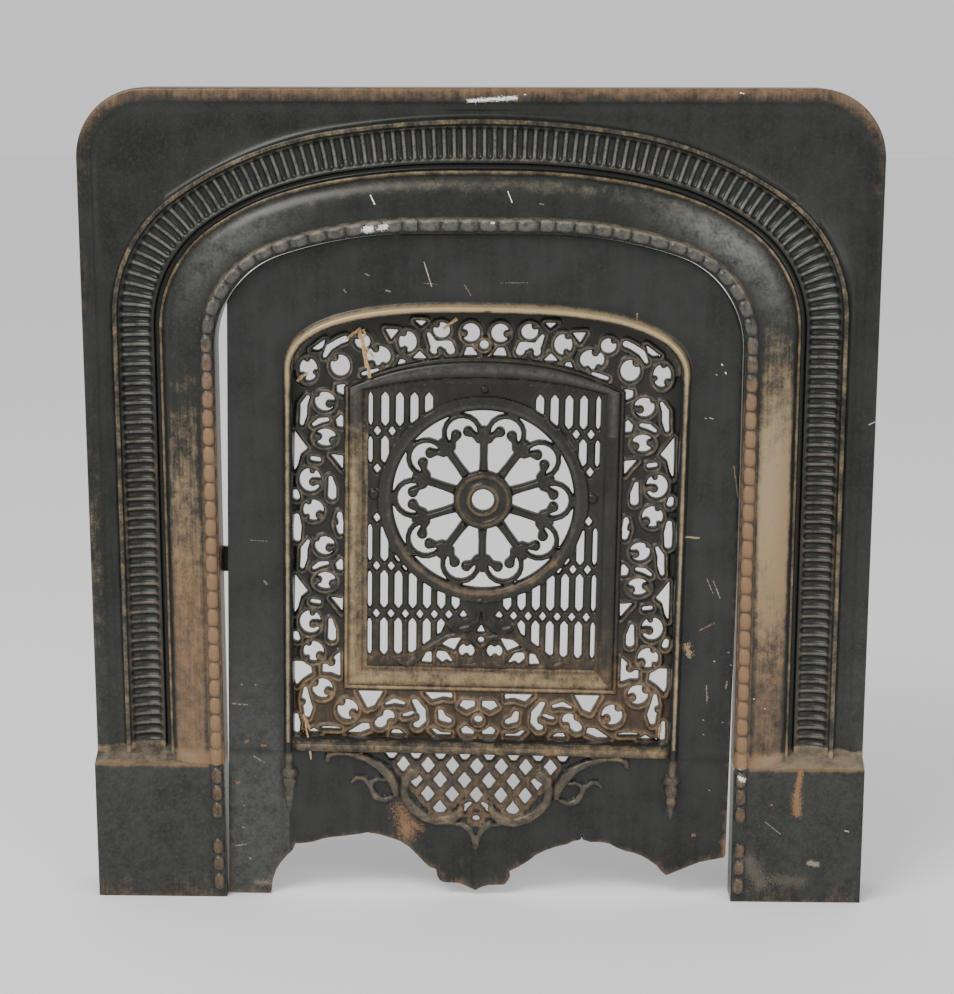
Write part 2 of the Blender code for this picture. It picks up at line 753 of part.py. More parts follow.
def aperture_loop(grow, foot, steps=14):
    """Return the aperture's outline, grown outwards, from its foot over the crown."""
    half = APERTURE_HALF + grow
    rise = APERTURE_CROWN + grow - APERTURE_SPRING
    loop = [(-half, foot)]
    for i in range(steps + 1):
        angle = math.pi * (1.0 - i / steps)
        side = math.copysign(abs(math.cos(angle)) ** ARCH_ACROSS, math.cos(angle))
        loop.append((half * side, APERTURE_SPRING + rise * abs(math.sin(angle)) ** ARCH_UP))
    loop.append((half, foot))
    return loop


def build_grille(mat, parent):
    """Build the pierced panel that stands behind the cover's aperture."""
    layers = Layers()
    layers.solid(aperture_loop(SEAT_WIDTH, BAR_TOP - SEAT_WIDTH))
    for grow in (SEAT_STEP - 0.4, SEAT_STEP + 0.4):
        layers.crease(aperture_loop(grow, BAR_TOP - grow))
    lattice_openings(layers)
    field_foot(layers)
    wheel_openings(layers)
    border_openings(layers)
    for inset in RAIL_INSETS:
        layers.crease(rail_loop(inset))
    return relief_plate("grille_panel", layers, grille_front, GRILLE_BASE - GRILLE_THICKNESS, mat, parent)


def distance_to(line, x, z):
    """Return the distance from a point to an open polyline."""
    best = 1e9
    for (ax, az), (bx, bz) in zip(line, line[1:]):
        dx = bx - ax
        dz = bz - az
        t = max(0.0, min(1.0, ((x - ax) * dx + (z - az) * dz) / (dx * dx + dz * dz)))
        best = min(best, math.hypot(x - ax - dx * t, z - az - dz * t))
    return best


def cover_left(z):
    """Return the cover's left edge at a height; it draws in a little upwards."""
    return -OPENING_HALF + COVER_GAP + COVER_LEFT_TAPER * z


def cover_right():
    """Return the cover's right edge, below the place where it follows the jamb."""
    return OPENING_HALF - COVER_RIGHT_GAP


def cover_shoulders():
    """Return the sides and arch of the cover's outline, left to right.

    They follow the opening's curve a small gap inside it, as far as the cover's own
    straight sides allow.
    """
    gap = COVER_GAP
    arch = Arch(OPENING_HALF - gap, OPENING_SPRING, (OPENING_SHOULDER[0] - gap, OPENING_SHOULDER[1]),
                (OPENING_HAUNCH[0] - gap, OPENING_HAUNCH[1]))
    curve = [Vector((gap - OPENING_HALF, BAND_FOOT))] + [arch.at(math.radians(d)) for d in COVER_DEGREES]
    curve += [Vector((-p.x, p.y)) for p in reversed(curve[:-1])]
    turned = [(p.x * math.cos(LEAN) - p.y * math.sin(LEAN), p.x * math.sin(LEAN) + p.y * math.cos(LEAN))
              for p in curve]

    def room(spot):
        return min(spot[0] - cover_left(spot[1]), cover_right() - spot[0])

    loop = []
    for a, b in zip(turned, turned[1:]):
        if (room(a) > 0) != (room(b) > 0):
            t = room(a) / (room(a) - room(b))
            loop.append((a[0] + (b[0] - a[0]) * t, a[1] + (b[1] - a[1]) * t))
        if room(b) > 0:
            loop.append(b)
    return loop


def cover_bottom():
    """Return the scalloped lower edge, left to right, with its broken right foot."""
    left = cover_left(0.0)
    right = cover_right()
    slope = math.tan(LEAN)
    return [(left, left * slope), (FOOT_RIGHT, FOOT_RIGHT * slope), (-207, 18), (-199, 31), (-189, 42),
            (-184, 51), (-166, 53), (-148, 58), (-112, 64), (-92, 60), (-70, 50), (-52, 31), (-42, 28),
            (-38, 14), (-20, 12), (-3, 6), (5, 10), (28, 12), (33, 28), (48, 38), (66, 49), (88, 57),
            (112, 59), (130, 58), (146, 51), (162, 47), (175, 40), (188, 26), (200, 32), (221, 41),
            (right, 47)]


APRON_SCROLLS = (
    ((-153, 141), (-140, 146), (-120, 145), (-104, 140), (-92, 130), (-84, 118), (-84, 104)),
    ((-127, 120), (-117, 120), (-108, 108), (-103, 100), (-92, 97)),
    ((-66, 127), (-75, 120), (-75, 105), (-68, 92), (-55, 81), (-38, 79), (-20, 86)),
)
PENDANT_WIDTHS = ((87.0, 0.0), (108.0, 5.7), (118.0, 7.0), (127.0, 3.0))
DROP_WIDTHS = ((46.0, 0.0), (62.0, 6.5), (72.0, 5.0), (79.0, 2.0))


def mirror_line(line):
    """Return an apron line mirrored about the basket's centre."""
    return [(2 * BASKET_CENTRE - x, z) for x, z in line]


def apron_lines():
    """Return the centre lines of all the apron's scrolls."""
    return list(APRON_SCROLLS) + [mirror_line(line) for line in APRON_SCROLLS]


def beside(line, offset):
    """Return a polyline moved sideways by an offset."""
    moved = []
    for i, (x, z) in enumerate(line):
        ax, az = line[max(i - 1, 0)]
        bx, bz = line[min(i + 1, len(line) - 1)]
        length = math.hypot(bx - ax, bz - az)
        moved.append((x - (bz - az) / length * offset, z + (bx - ax) / length * offset))
    return moved


def drop_height(x, z, centre, widths, proud):
    """Return the height of a raised drop that tapers along its own width table."""
    half = ramp(z, widths)
    if half <= 0.01 or not widths[0][0] < z < widths[-1][0] + 0.1:
        return 0.0
    return proud * max(0.0, 1.0 - abs(x - centre) / half)


def cover_front(x, z):
    """Return the height of the cover's front."""
    crest = aperture_loop(MOULD_CREST, MOULD_FOOT)
    away = distance_to(crest, x, z)
    height = MOULD_PROUD * max(0.0, 1.0 - away / (MOULD_WIDTH - MOULD_CREST))
    if abs(x) < APERTURE_HALF + MOULD_CREST:
        middle = (BAR_BOTTOM + BAR_TOP) / 2
        share = min(1.0, abs(z - middle) / ((BAR_TOP - BAR_BOTTOM) / 2))
        height = max(height, BAR_PROUD * math.sqrt(1.0 - share * share))
    if z < BAR_BOTTOM:
        for side in (-1, 1):
            height = max(height, drop_height(x, z, side * PENDANT_X, PENDANT_WIDTHS, PENDANT_PROUD))
        height = max(height, drop_height(x, z, BASKET_CENTRE, DROP_WIDTHS, PENDANT_PROUD))
        for line in apron_lines():
            away = distance_to(line, x, z)
            height = max(height, SCROLL_PROUD * max(0.0, 1.0 - away / SCROLL_HALF_WIDTH))
    return COVER_FACE + height


def drop_creases(layers, centre, widths):
    """Draw a raised drop's outline and its ridge."""
    right = [(centre + half, z) for z, half in widths]
    left = [(centre - half, z) for z, half in reversed(widths[1:])]
    layers.crease(right + left)
    layers.crease([(centre, z) for z, _ in widths[1:]], closed=False)


def basket_openings(layers):
    """Cut the basket's diamonds, row by row, and the half diamonds under the bar."""
    half, tall = BASKET_MESH
    for row, (count, spread) in enumerate(BASKET_ROWS):
        z = BASKET_TOP - row * BASKET_ROW
        for i in range(count):
            x = BASKET_CENTRE + (i - (count - 1) / 2) * BASKET_PITCH * spread
            layers.open(ellipse(x, z, half, tall, 4))
    top = BAR_BOTTOM - 1.5
    for i in range(BASKET_HALVES):
        x = BASKET_CENTRE + (i - (BASKET_HALVES - 1) / 2) * BASKET_PITCH
        layers.open([(x - half, top), (x, top - half), (x + half, top)])


def cover_lug(parent):
    """Return the hooked lug that the cover holds behind the left jamb, as a hidden guide."""
    plate_back = COVER_FACE - COVER_THICKNESS
    tongue_front = RETURN_BACK - LUG_CLEAR
    low, high = LUG_HEIGHTS
    left = cover_left(high)
    section = [(left + 4, plate_back + 1.0), (left + 14, plate_back + 1.0),
               (left + 14, tongue_front - LUG_THICKNESS), (left - LUG_REACH, tongue_front - LUG_THICKNESS),
               (left - LUG_REACH, tongue_front), (left + 4, tongue_front)]
    bm = bmesh.new()
    rings = [[bm.verts.new(place(front, x, z)) for x, front in section] for z in (low, high)]
    bm.faces.new(rings[0])
    bm.faces.new(rings[1][::-1])
    for i in range(len(section)):
        j = (i + 1) % len(section)
        bm.faces.new((rings[0][i], rings[0][j], rings[1][j], rings[1][i]))
    lug = finish_object("lug_guide", bm, material("guide", (0.5, 0.5, 0.5), 0.5, 0.0), parent)
    lug.hide_render = True
    lug.display_type = "WIRE"
    return lug


def build_cover(mat, parent):
    """Build the arched cover plate with its moulding, bar, pendants, scrolls and basket."""
    layers = Layers()
    layers.solid(cover_bottom() + cover_shoulders()[::-1])
    layers.open(aperture_loop(0.0, BAR_TOP))
    layers.crease(aperture_loop(MOULD_CREST, MOULD_FOOT), closed=False)
    layers.crease(aperture_loop(MOULD_WIDTH, MOULD_FOOT), closed=False)
    for side in (-1, 1):
        edge = side * (APERTURE_HALF - 1.0)
        layers.crease([(edge, MOULD_FOOT), (edge, BAR_BOTTOM)], closed=False)
        drop_creases(layers, side * PENDANT_X, PENDANT_WIDTHS)
    drop_creases(layers, BASKET_CENTRE, DROP_WIDTHS)
    middle = (BAR_BOTTOM + BAR_TOP) / 2
    half = APERTURE_HALF - 0.5
    for z in (BAR_BOTTOM, BAR_BOTTOM + 2.0, middle, BAR_TOP - 2.0):
        layers.crease([(-half, z), (half, z)], closed=False)
    for line in apron_lines():
        layers.crease(line, closed=False)
        layers.crease(beside(line, SCROLL_HALF_WIDTH) + beside(line, -SCROLL_HALF_WIDTH)[::-1])
    basket_openings(layers)
    back = COVER_FACE - COVER_THICKNESS
    cover = relief_plate("cover_plate", layers, cover_front, back, mat, parent)
    join = cover.modifiers.new("lug", "BOOLEAN")
    join.operation = "UNION"
    join.solver = "EXACT"
    join.object = cover_lug(parent)
    return cover


def smooth_route(points, gap):
    """Return points a set gap apart along a smooth curve through the route's own points."""
    dense = []
    ends = [points[0]] + list(points) + [points[-1]]
    for a, b, c, d in zip(ends, ends[1:], ends[2:], ends[3:]):
        a, b, c, d = (Vector(v) for v in (a, b, c, d))
        for i in range(12):
            t = i / 12
            dense.append(0.5 * (2 * b + (c - a) * t + (2 * a - 5 * b + 4 * c - d) * t ** 2
                                + (3 * b - a - 3 * c + d) * t ** 3))
    dense.append(Vector(points[-1]))
    length = sum((q - p).length for p, q in zip(dense, dense[1:]))
    count = max(3, round(length / gap))
    route = [dense[0]]
    run = 0.0
    for p, q in zip(dense, dense[1:]):
        run += (q - p).length
        if run >= length / count * len(route) - 1e-6 and len(route) < count:
            route.append(q)
    return route + [dense[-1]]


def twine(name, points, mat, parent, gap, fineness):
    """Build a piece of twine along (x, front, z) points."""
    curve = bpy.data.curves.new(name, "CURVE")
    curve.dimensions = "3D"
    curve.bevel_depth = TWINE_RADIUS * MM
    curve.bevel_resolution = fineness
    curve.use_fill_caps = True
    route = smooth_route(points, gap)
    spline = curve.splines.new("POLY")
    spline.points.add(len(route) - 1)
    for spot, (x, front, z) in zip(spline.points, route):
        spot.co = (*place(front, x, z), 1.0)
    curve.materials.append(mat)
    obj = bpy.data.objects.new(name, curve)
    bpy.context.collection.objects.link(obj)
    obj.parent = parent
    return obj


def build_twine(mat, parent):
    """Build the twine ties before the grille's border, and the one long free tail."""
    flat = GRILLE_BASE + BORDER_RISE + TWINE_RADIUS + TWINE_CLEAR
    over_rail = GRILLE_BASE + RAIL_PROFILE[2][1] + TWINE_RADIUS + TWINE_CLEAR
    ties = {
        "twine_tie_top_left": ((-134, flat, 561), (-127, flat + 1, 567), (-121, flat + 2, 571)),
        "twine_tie_top": ((-42, flat, 572), (-35, flat + 1, 578), (-29, flat, 582)),
        "twine_tie_left": ((-182, flat, 519), (-177, flat + 1, 524), (-172, flat, 527)),
        "twine_tie_lower_left": ((-178, flat, 184), (-173, flat + 1, 176), (-170, flat, 168)),
        "twine_tie_lower_right": ((178, flat, 182), (177, flat + 1, 175), (176, flat, 168)),
    }
    for name, points in ties.items():
        twine(name, points, mat, parent, 6.0, 0)
    tail = ((-121, flat + 6, 567.5), (-118, over_rail + 1, 556), (-115, over_rail + 1.5, 540),
            (-112, over_rail + 1, 524))
    twine("twine_tail", tail, mat, parent, 5.5, 1)


def main():
    """Build every piece."""
    clear_scene()
    iron = material("blackened_iron", (0.028, 0.029, 0.028), 0.42, 0.55)
    plate_iron = material("painted_cover_iron", (0.03, 0.031, 0.031), 0.4, 0.5)
    grille_iron = material("worn_grille_iron", (0.06, 0.052, 0.042), 0.45, 0.6)
    straw = material("straw_twine", (0.62, 0.45, 0.22), 0.8, 0.0)
    lean = bpy.data.objects.new("cover_frame", None)
    bpy.context.collection.objects.link(lean)
    lean.rotation_euler = (0.0, LEAN, 0.0)
    build_surround(iron)
    build_cover(plate_iron, lean)
    build_grille(grille_iron, lean)
    build_twine(straw, lean)


main()
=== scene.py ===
"""Looks of a cast-iron fireplace surround with its loose summer cover and pierced grille.

Every relief is worked out here in millimetres, in the same frame as the CAD: x to the
viewer's right, z up, and `front` the distance before the back plane. The cover, the
grille and the twine share a frame that leans a little to the right.
"""
import logging
import math
from dataclasses import dataclass, field
from dataclasses import replace as changed
from enum import Enum

import bpy
import numpy as np
from mathutils import Matrix, Vector
from mathutils.geometry import delaunay_2d_cdt


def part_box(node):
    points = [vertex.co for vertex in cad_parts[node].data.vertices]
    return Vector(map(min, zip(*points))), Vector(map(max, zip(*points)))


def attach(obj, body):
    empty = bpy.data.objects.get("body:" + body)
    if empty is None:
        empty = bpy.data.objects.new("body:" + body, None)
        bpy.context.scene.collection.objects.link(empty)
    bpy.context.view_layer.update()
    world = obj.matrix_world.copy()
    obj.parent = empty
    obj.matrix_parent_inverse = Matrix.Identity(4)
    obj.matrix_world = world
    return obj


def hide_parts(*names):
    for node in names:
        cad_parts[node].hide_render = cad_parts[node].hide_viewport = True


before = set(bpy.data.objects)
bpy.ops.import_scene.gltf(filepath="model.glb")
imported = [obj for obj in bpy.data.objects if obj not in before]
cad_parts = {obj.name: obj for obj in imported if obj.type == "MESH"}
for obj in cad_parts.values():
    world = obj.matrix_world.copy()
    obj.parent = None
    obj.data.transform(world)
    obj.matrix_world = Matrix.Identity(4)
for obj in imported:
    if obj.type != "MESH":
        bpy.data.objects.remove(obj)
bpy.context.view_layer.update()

MM = 0.001
BODY = "root"
BACK_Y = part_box("surround")[1][1] / MM
HALF_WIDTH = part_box("surround")[1][0] / MM
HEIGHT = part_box("surround")[1][2] / MM
LEAN = math.radians(0.8)

Array = np.ndarray
Socket = bpy.types.NodeSocket
Node = bpy.types.Node
Tree = bpy.types.NodeTree
Material = bpy.types.Material
Piece = bpy.types.Object
log = logging.getLogger("surround")


def ease(low: float, high: float, value: Array) -> Array:
    """Return a smooth step.

    Args:
        low: Value where the step starts at 0.
        high: Value where it ends at 1; may be less than low.
        value: Where to evaluate it.

    Returns:
        The step, from 0 to 1.
    """
    t = np.clip((value - low) / (high - low), 0, 1)
    return t * t * (3 - 2 * t)


def hump(value: Array, centre: float, width: float) -> Array:
    """Return a smooth hump, 1 at its centre and 0 a width away."""
    return ease(width, 0, np.abs(value - centre))


def round_over(share: Array) -> Array:
    """Return a quarter round that rises from 0 at share 0 to 1 at share 1."""
    t = np.clip(share, 0, 1)
    return np.sqrt(np.clip(1 - (1 - t) ** 2, 0, 1))


def upright_points(x: Array, front: Array, z: Array) -> Array:
    """Return world points in metres from upright millimetre coordinates."""
    return np.stack([x, BACK_Y - front, z], -1) * MM


def leaning_points(x: Array, front: Array, z: Array) -> Array:
    """Return world points in metres from the leaning frame's millimetres."""
    across = x * math.cos(LEAN) + z * math.sin(LEAN)
    up = z * math.cos(LEAN) - x * math.sin(LEAN)
    return np.stack([across, BACK_Y - front, up], -1) * MM


def make_piece(name: str, points: Array, faces: list, wear: dict[str, Array], material: Material,
               nodes: tuple[str, ...], sharp: float = 55) -> Piece:
    """Turn arrays into a finished piece that stands for CAD nodes.

    Args:
        name: The piece's name.
        points: World points in metres, one row each.
        faces: Vertex index lists.
        wear: Named values at the points, read by the material.
        material: The piece's finish.
        nodes: The CAD nodes that it stands for.
        sharp: Edges that turn by more degrees than this stay crisp.

    Returns:
        The new object.
    """
    mesh = bpy.data.meshes.new(name)
    mesh.from_pydata(points.tolist(), [], faces)
    for label, values in wear.items():
        layer = mesh.attributes.new(label, "FLOAT", "POINT")
        layer.data.foreach_set("value", np.ascontiguousarray(values, dtype=np.float32))
    mesh.materials.append(material)
    mesh.shade_smooth()
    mesh.set_sharp_from_angle(angle=math.radians(sharp))
    piece = bpy.data.objects.new(name, mesh)
    bpy.context.collection.objects.link(piece)
    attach(piece, BODY)
    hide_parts(*nodes)
    log.info("%s: %d points, %d faces", name, len(points), len(faces))
    return piece


def outward(points: Array, faces: list) -> list:
    """Return the faces of a closed mesh, turned over if they face inwards."""
    fans = [(f[0], f[i], f[i + 1]) for f in faces for i in range(1, len(f) - 1)]
    a, b, c = (points[[fan[k] for fan in fans]] for k in range(3))
    volume = np.einsum("ij,ij->", a, np.cross(b, c))
    return faces if volume > 0 else [f[::-1] for f in faces]


@dataclass(frozen=True)
class Oval:
    """An upright ellipse."""

    x: float
    z: float
    rx: float
    rz: float

    def bounds(self) -> tuple[float, float, float, float]:
        """Return its x and z limits."""
        return self.x - self.rx, self.x + self.rx, self.z - self.rz, self.z + self.rz

    def distance(self, x: Array, z: Array) -> Array:
        """Return the distance to its edge, negative inside."""
        reach = np.hypot((x - self.x) / self.rx, (z - self.z) / self.rz)
        return (reach - 1) * min(self.rx, self.rz)

    def mirrored(self, axis: float) -> "Oval":
        """Return its mirror image about x = axis."""
        return changed(self, x=2 * axis - self.x)

    def moved(self, dx: float, dz: float) -> "Oval":
        """Return it moved."""
        return changed(self, x=self.x + dx, z=self.z + dz)


@dataclass(frozen=True)
class Run:
    """A round-ended stroke through spots of (x, z, half width)."""

    spots: tuple[tuple[float, float, float], ...]

    def bounds(self) -> tuple[float, float, float, float]:
        """Return its x and z limits."""
        low_x = min(x - r for x, _, r in self.spots)
        high_x = max(x + r for x, _, r in self.spots)
        low_z = min(z - r for _, z, r in self.spots)
        high_z = max(z + r for _, z, r in self.spots)
        return low_x, high_x, low_z, high_z

    def legs(self, x: Array, z: Array) -> list[tuple[Array, Array]]:
        """Return, for each leg, the distance to its centre line and its half width there.

        Args:
            x: Where, across.
            z: Where, up.

        Returns:
            One pair for each leg.
        """
        found = []
        for (ax, az, ar), (bx, bz, br) in zip(self.spots, self.spots[1:]):
            dx = bx - ax
            dz = bz - az
            t = np.clip(((x - ax) * dx + (z - az) * dz) / (dx * dx + dz * dz), 0, 1)
            found.append((np.hypot(x - ax - dx * t, z - az - dz * t), ar + (br - ar) * t))
        return found

    def distance(self, x: Array, z: Array) -> Array:
        """Return the distance to its edge, negative inside."""
        return np.min([away - half for away, half in self.legs(x, z)], axis=0)

    def swell(self, x: Array, z: Array) -> Array:
        """Return a rounded section, 1 on the centre line and 0 at the edge."""
        share = np.min([away / half for away, half in self.legs(x, z)], axis=0)
        return np.sqrt(np.clip(1 - share * share, 0, 1))

    def mirrored(self, axis: float) -> "Run":
        """Return its mirror image about x = axis."""
        return changed(self, spots=tuple((2 * axis - x, z, r) for x, z, r in self.spots))

    def moved(self, dx: float, dz: float) -> "Run":
        """Return it moved."""
        return changed(self, spots=tuple((x + dx, z + dz, r) for x, z, r in self.spots))


@dataclass(frozen=True)
class Facet:
    """A polygon with eased corners."""

    corners: tuple[tuple[float, float], ...]
    soft: float = 0.9

    def bounds(self) -> tuple[float, float, float, float]:
        """Return its x and z limits."""
        xs = [x for x, _ in self.corners]
        zs = [z for _, z in self.corners]
        return min(xs), max(xs), min(zs), max(zs)

    def distance(self, x: Array, z: Array) -> Array:
        """Return the distance to its edge, negative inside.

        Args:
            x: Where, across.
            z: Where, up.

        Returns:
            The distance in millimetres.
        """
        best = np.full(x.shape, 1e9)
        inside = np.zeros(x.shape, bool)
        loop = self.corners
        for (ax, az), (bx, bz) in zip(loop, loop[1:] + loop[:1]):
            dx = bx - ax
            dz = bz - az
            t = np.clip(((x - ax) * dx + (z - az) * dz) / (dx * dx + dz * dz), 0, 1)
            best = np.minimum(best, np.hypot(x - ax - dx * t, z - az - dz * t))
            crossing = (az > z) != (bz > z)
            if dz != 0:
                inside ^= crossing & (x < ax + dx * (z - az) / dz)
        return np.where(inside, -best, best) + self.soft * hump(best, 0, self.soft) * 0.4

    def mirrored(self, axis: float) -> "Facet":
        """Return its mirror image about x = axis."""
        return changed(self, corners=tuple((2 * axis - x, z) for x, z in self.corners))

    def moved(self, dx: float, dz: float) -> "Facet":
        """Return it moved."""
        return changed(self, corners=tuple((x + dx, z + dz) for x, z in self.corners))


Shape = Oval | Run | Facet
Entry = tuple[Shape, bool]


def grouped(numbers: tuple[float, ...], size: int) -> tuple[tuple[float, ...], ...]:
    """Return a row of numbers as tuples of a size."""
    return tuple(zip(*(numbers[i::size] for i in range(size))))


def hole(x: float, z: float, rx: float, rz: float) -> Entry:
    """Return an oval opening."""
    return Oval(x, z, rx, rz), False


def slot(*numbers: float) -> Entry:
    """Return a stroke-shaped opening: x, z and half width at each spot."""
    return Run(grouped(numbers, 3)), False


def leaf(*numbers: float) -> Entry:
    """Return a stroke of iron kept in an opening: x, z and half width at each spot."""
    return Run(grouped(numbers, 3)), True


def notch(*numbers: float) -> Entry:
    """Return a straight-sided opening: x and z at each corner."""
    return Facet(grouped(numbers, 2)), False


def close_to(shape: Shape, x: Array, z: Array, reach: float = 0) -> Array:
    """Return which points lie within a shape's limits, widened by a reach.

    Args:
        shape: The shape.
        x: Where, across.
        z: Where, up.
        reach: How far its limits are widened.

    Returns:
        A mask.
    """
    x0, x1, z0, z1 = shape.bounds()
    return (x > x0 - reach) & (x < x1 + reach) & (z > z0 - reach) & (z < z1 + reach)


def both_sides(shapes: list, centre: float) -> list:
    """Return shapes drawn for the right of a centre line, on both sides of it."""
    right = [(shape.moved(centre, 0), kept) for shape, kept in shapes]
    return right + [(shape.mirrored(centre), kept) for shape, kept in right]


@dataclass(frozen=True)
class Arch:
    """Left half of a five-centred arch, followed by the angle of its normal."""

    half: float
    spring: float
    shoulder: tuple[float, float]
    haunch: tuple[float, float]

    def at(self, angle: Array) -> tuple[Array, Array]:
        """Return x and z where the normal makes these angles.

        Args:
            angle: Angles from the horizontal, up to a quarter turn.

        Returns:
            The coordinates x and z.
        """
        t1 = math.radians(self.shoulder[1])
        t2 = t1 + math.radians(self.haunch[1])
        r1 = self.shoulder[0]
        r2 = self.haunch[0]
        c1 = (r1 - self.half, self.spring)
        c2 = (c1[0] - (r1 - r2) * math.cos(t1), c1[1] + (r1 - r2) * math.sin(t1))
        end = (c2[0] - r2 * math.cos(t2), c2[1] + r2 * math.sin(t2))
        r3 = -end[0] / math.cos(t2)
        c3 = (end[0] + r3 * math.cos(t2), end[1] - r3 * math.sin(t2))
        parts = [angle < t1, angle < t2]
        radius = np.select(parts, [r1, r2], r3)
        x = np.select(parts, [c1[0], c2[0]], c3[0]) - radius * np.cos(angle)
        z = np.select(parts, [c1[1], c2[1]], c3[1]) + radius * np.sin(angle)
        return x, z


@dataclass
class Row:
    """One lengthwise line of the surround, from foot to foot."""

    stations: Array
    x: Array
    front: Array
    z: Array
    across: float
    lift: Array


@dataclass
class SurroundCasting:
    """The one-piece surround: bead string, smooth band, fluted cove, rim and plinths."""

    material: Material
    wall: float = 6
    depth: float = 62
    arris: float = 139
    ledge_slope: float = 0.5
    ledge_rise: float = 9
    band_foot: float = 156
    anchor: float = 600
    corner: float = 66
    corner_span: tuple[float, float] = (1.36, 1.57)
    ledge_station: float = -0.5
    return_back: float = 29
    band_width: float = 95.8
    opening: Arch = Arch(252.2, 555.4, (93.1, 71.6), (407.3, 18.1))
    band: Arch = Arch(348, 581.6, (139.1, 55), (357.3, 25.8))
    bead_inner: float = 1.3
    bead_width: float = 12
    bead_proud: float = 5
    bead_pitch: float = 18.1
    bead_foot: float = 83
    low_beads: tuple = ((8, 26), (27.5, 44.5), (45.5, 62.5))
    flute_pitch: float = 9.55
    flute_depth: float = 2.2
    flute_half: float = 3.4
    flute_span: tuple[float, float] = (66.6, 89.4)
    cove_inner: float = 61
    cove_outer: float = 94.6
    rows: list[Row] = field(default_factory=list)

    def on_arch(self, offset: float, p: Array) -> tuple[Array, Array]:
        """Return x and z at an offset outside the opening, for stations up to 2.

        Args:
            offset: Distance outside the opening.
            p: Stations.

        Returns:
            The coordinates x and z.
        """
        share = offset / self.band_width
        spring = self.opening.spring + (self.band.spring - self.opening.spring) * share
        angle = np.clip(p - 1, 0, 1) * math.pi / 2
        ax, az = self.opening.at(angle)
        bx, bz = self.band.at(angle)
        straight = self.band_foot + (spring - self.band_foot) * np.clip(p, 0, 1)
        x = np.where(p > 1, ax + (bx - ax) * share, -self.opening.half - offset)
        z = np.where(p > 1, az + (bz - az) * share, straight)
        return x, z

    def on_outline(self, inset: float, p: Array) -> tuple[Array, Array]:
        """Return x and z at an inset from the outline, for stations up to 2.

        Args:
            inset: Distance inside the outline.
            p: Stations.

        Returns:
            The coordinates x and z.
        """
        start, end = self.corner_span
        radius = self.corner - inset
        cx = self.corner - HALF_WIDTH
        cz = HEIGHT - self.corner
        angle = math.pi / 2 * np.clip((p - start) / (end - start), 0, 1)
        lower = self.band_foot + (self.anchor - self.band_foot) * np.clip(p, 0, 1)
        upper = self.anchor + (cz - self.anchor) * (p - 1) / (start - 1)
        side = np.where(p <= 1, lower, upper)
        x = np.where(p <= end, cx - radius * np.cos(angle), cx * (1 - (p - end) / (2 - end)))
        z = np.where(p <= start, side, cz + radius * np.sin(angle))
        return x, z

    def on_panel(self, share: float, p: Array) -> tuple[Array, Array]:
        """Return x and z on the hollow panel, at a share from the arch to the outline."""
        ax, az = self.on_arch(self.band_width + 4.2, p)
        bx, bz = self.on_outline(20.5, p)
        return ax + (bx - ax) * share, az + (bz - az) * share

    def half_line(self, track: str, offset: float, front: float, p: Array, straight: bool,
                  hidden: bool) -> tuple[Array, Array, Array]:
        """Return x, front and z of the left half of a line.

        Args:
            track: Name of the guide: arch, outline or panel.
            offset: Distance along that guide.
            front: How far the line stands before the back plane.
            p: Stations: -2 floor, -1 plinth arris, 0 foot, 1 springing, 2 crown.
            straight: Whether the line keeps its front down to the floor.
            hidden: Whether it runs inside the shell.

        Returns:
            The three coordinates, in millimetres.
        """
        guide = {"arch": self.on_arch, "outline": self.on_outline, "panel": self.on_panel}[track]
        wall = self.wall if hidden else 0
        arris = self.arris - wall
        plinth = front if straight else self.depth - wall
        rise = self.ledge_slope * (plinth - front)
        ledge = arris + (rise if rise > 0 else self.ledge_rise)
        x, z = guide(offset, np.maximum(p, 0))
        foot = float(guide(offset, np.zeros(1))[1][0])
        step = self.ledge_station
        on_ledge = np.clip((p + 1) / (step + 1), 0, 1)
        above = np.clip((p - step) / -step, 0, 1)
        low = np.where(p <= -1, arris * (p + 2), arris + (ledge - arris) * on_ledge)
        low = np.where(p > step, ledge + (foot - ledge) * above, low)
        depth = np.where(p <= -1, plinth, plinth + (front - plinth) * on_ledge)
        return x, np.where(p >= 0, front, depth), np.where(p >= 0, z, low)

    def add_row(self, track: str, offset: float, front: float, half: Array, lift: Array | None = None,
                straight: bool = False, hidden: bool = False) -> None:
        """Add one line of the casting, mirrored to the right half.

        Args:
            track: Name of the guide.
            offset: Distance along it.
            front: Front before the back plane.
            half: Stations of the left half.
            lift: Extra front at each station.
            straight: Whether it keeps its front.
            hidden: Whether it runs inside the shell.
        """
        x, depth, z = self.half_line(track, offset, front, half, straight, hidden)
        raised = np.zeros(len(half)) if lift is None else lift
        depth = depth + raised
        across = {"arch": offset, "outline": 1000 + offset, "panel": 500 + 100 * offset}[track]
        if hidden or (straight and offset == self.wall):
            across = 2000
        back = slice(-2, None, -1)
        self.rows.append(Row(
            np.concatenate([half, 4 - half[back]]), np.concatenate([x, -x[back]]),
            np.concatenate([depth, depth[back]]), np.concatenate([z, z[back]]),
            across, np.concatenate([raised, raised[back]])))

    def plain_stations(self) -> Array:
        """Return stations for the smooth lines, close together where they bend."""
        foot = [-2, -1.985, -1.6, -1.2, -1.03, -1.01, -1, -0.97, -0.9, -0.75, -0.6, -0.5, -0.4, -0.2]
        corner = np.linspace(*self.corner_span, 22)
        arch = np.linspace(1, 2, 80)
        jamb = np.linspace(0, 1, 22)
        return np.unique(np.round(np.concatenate([foot, jamb, arch, corner]), 6))

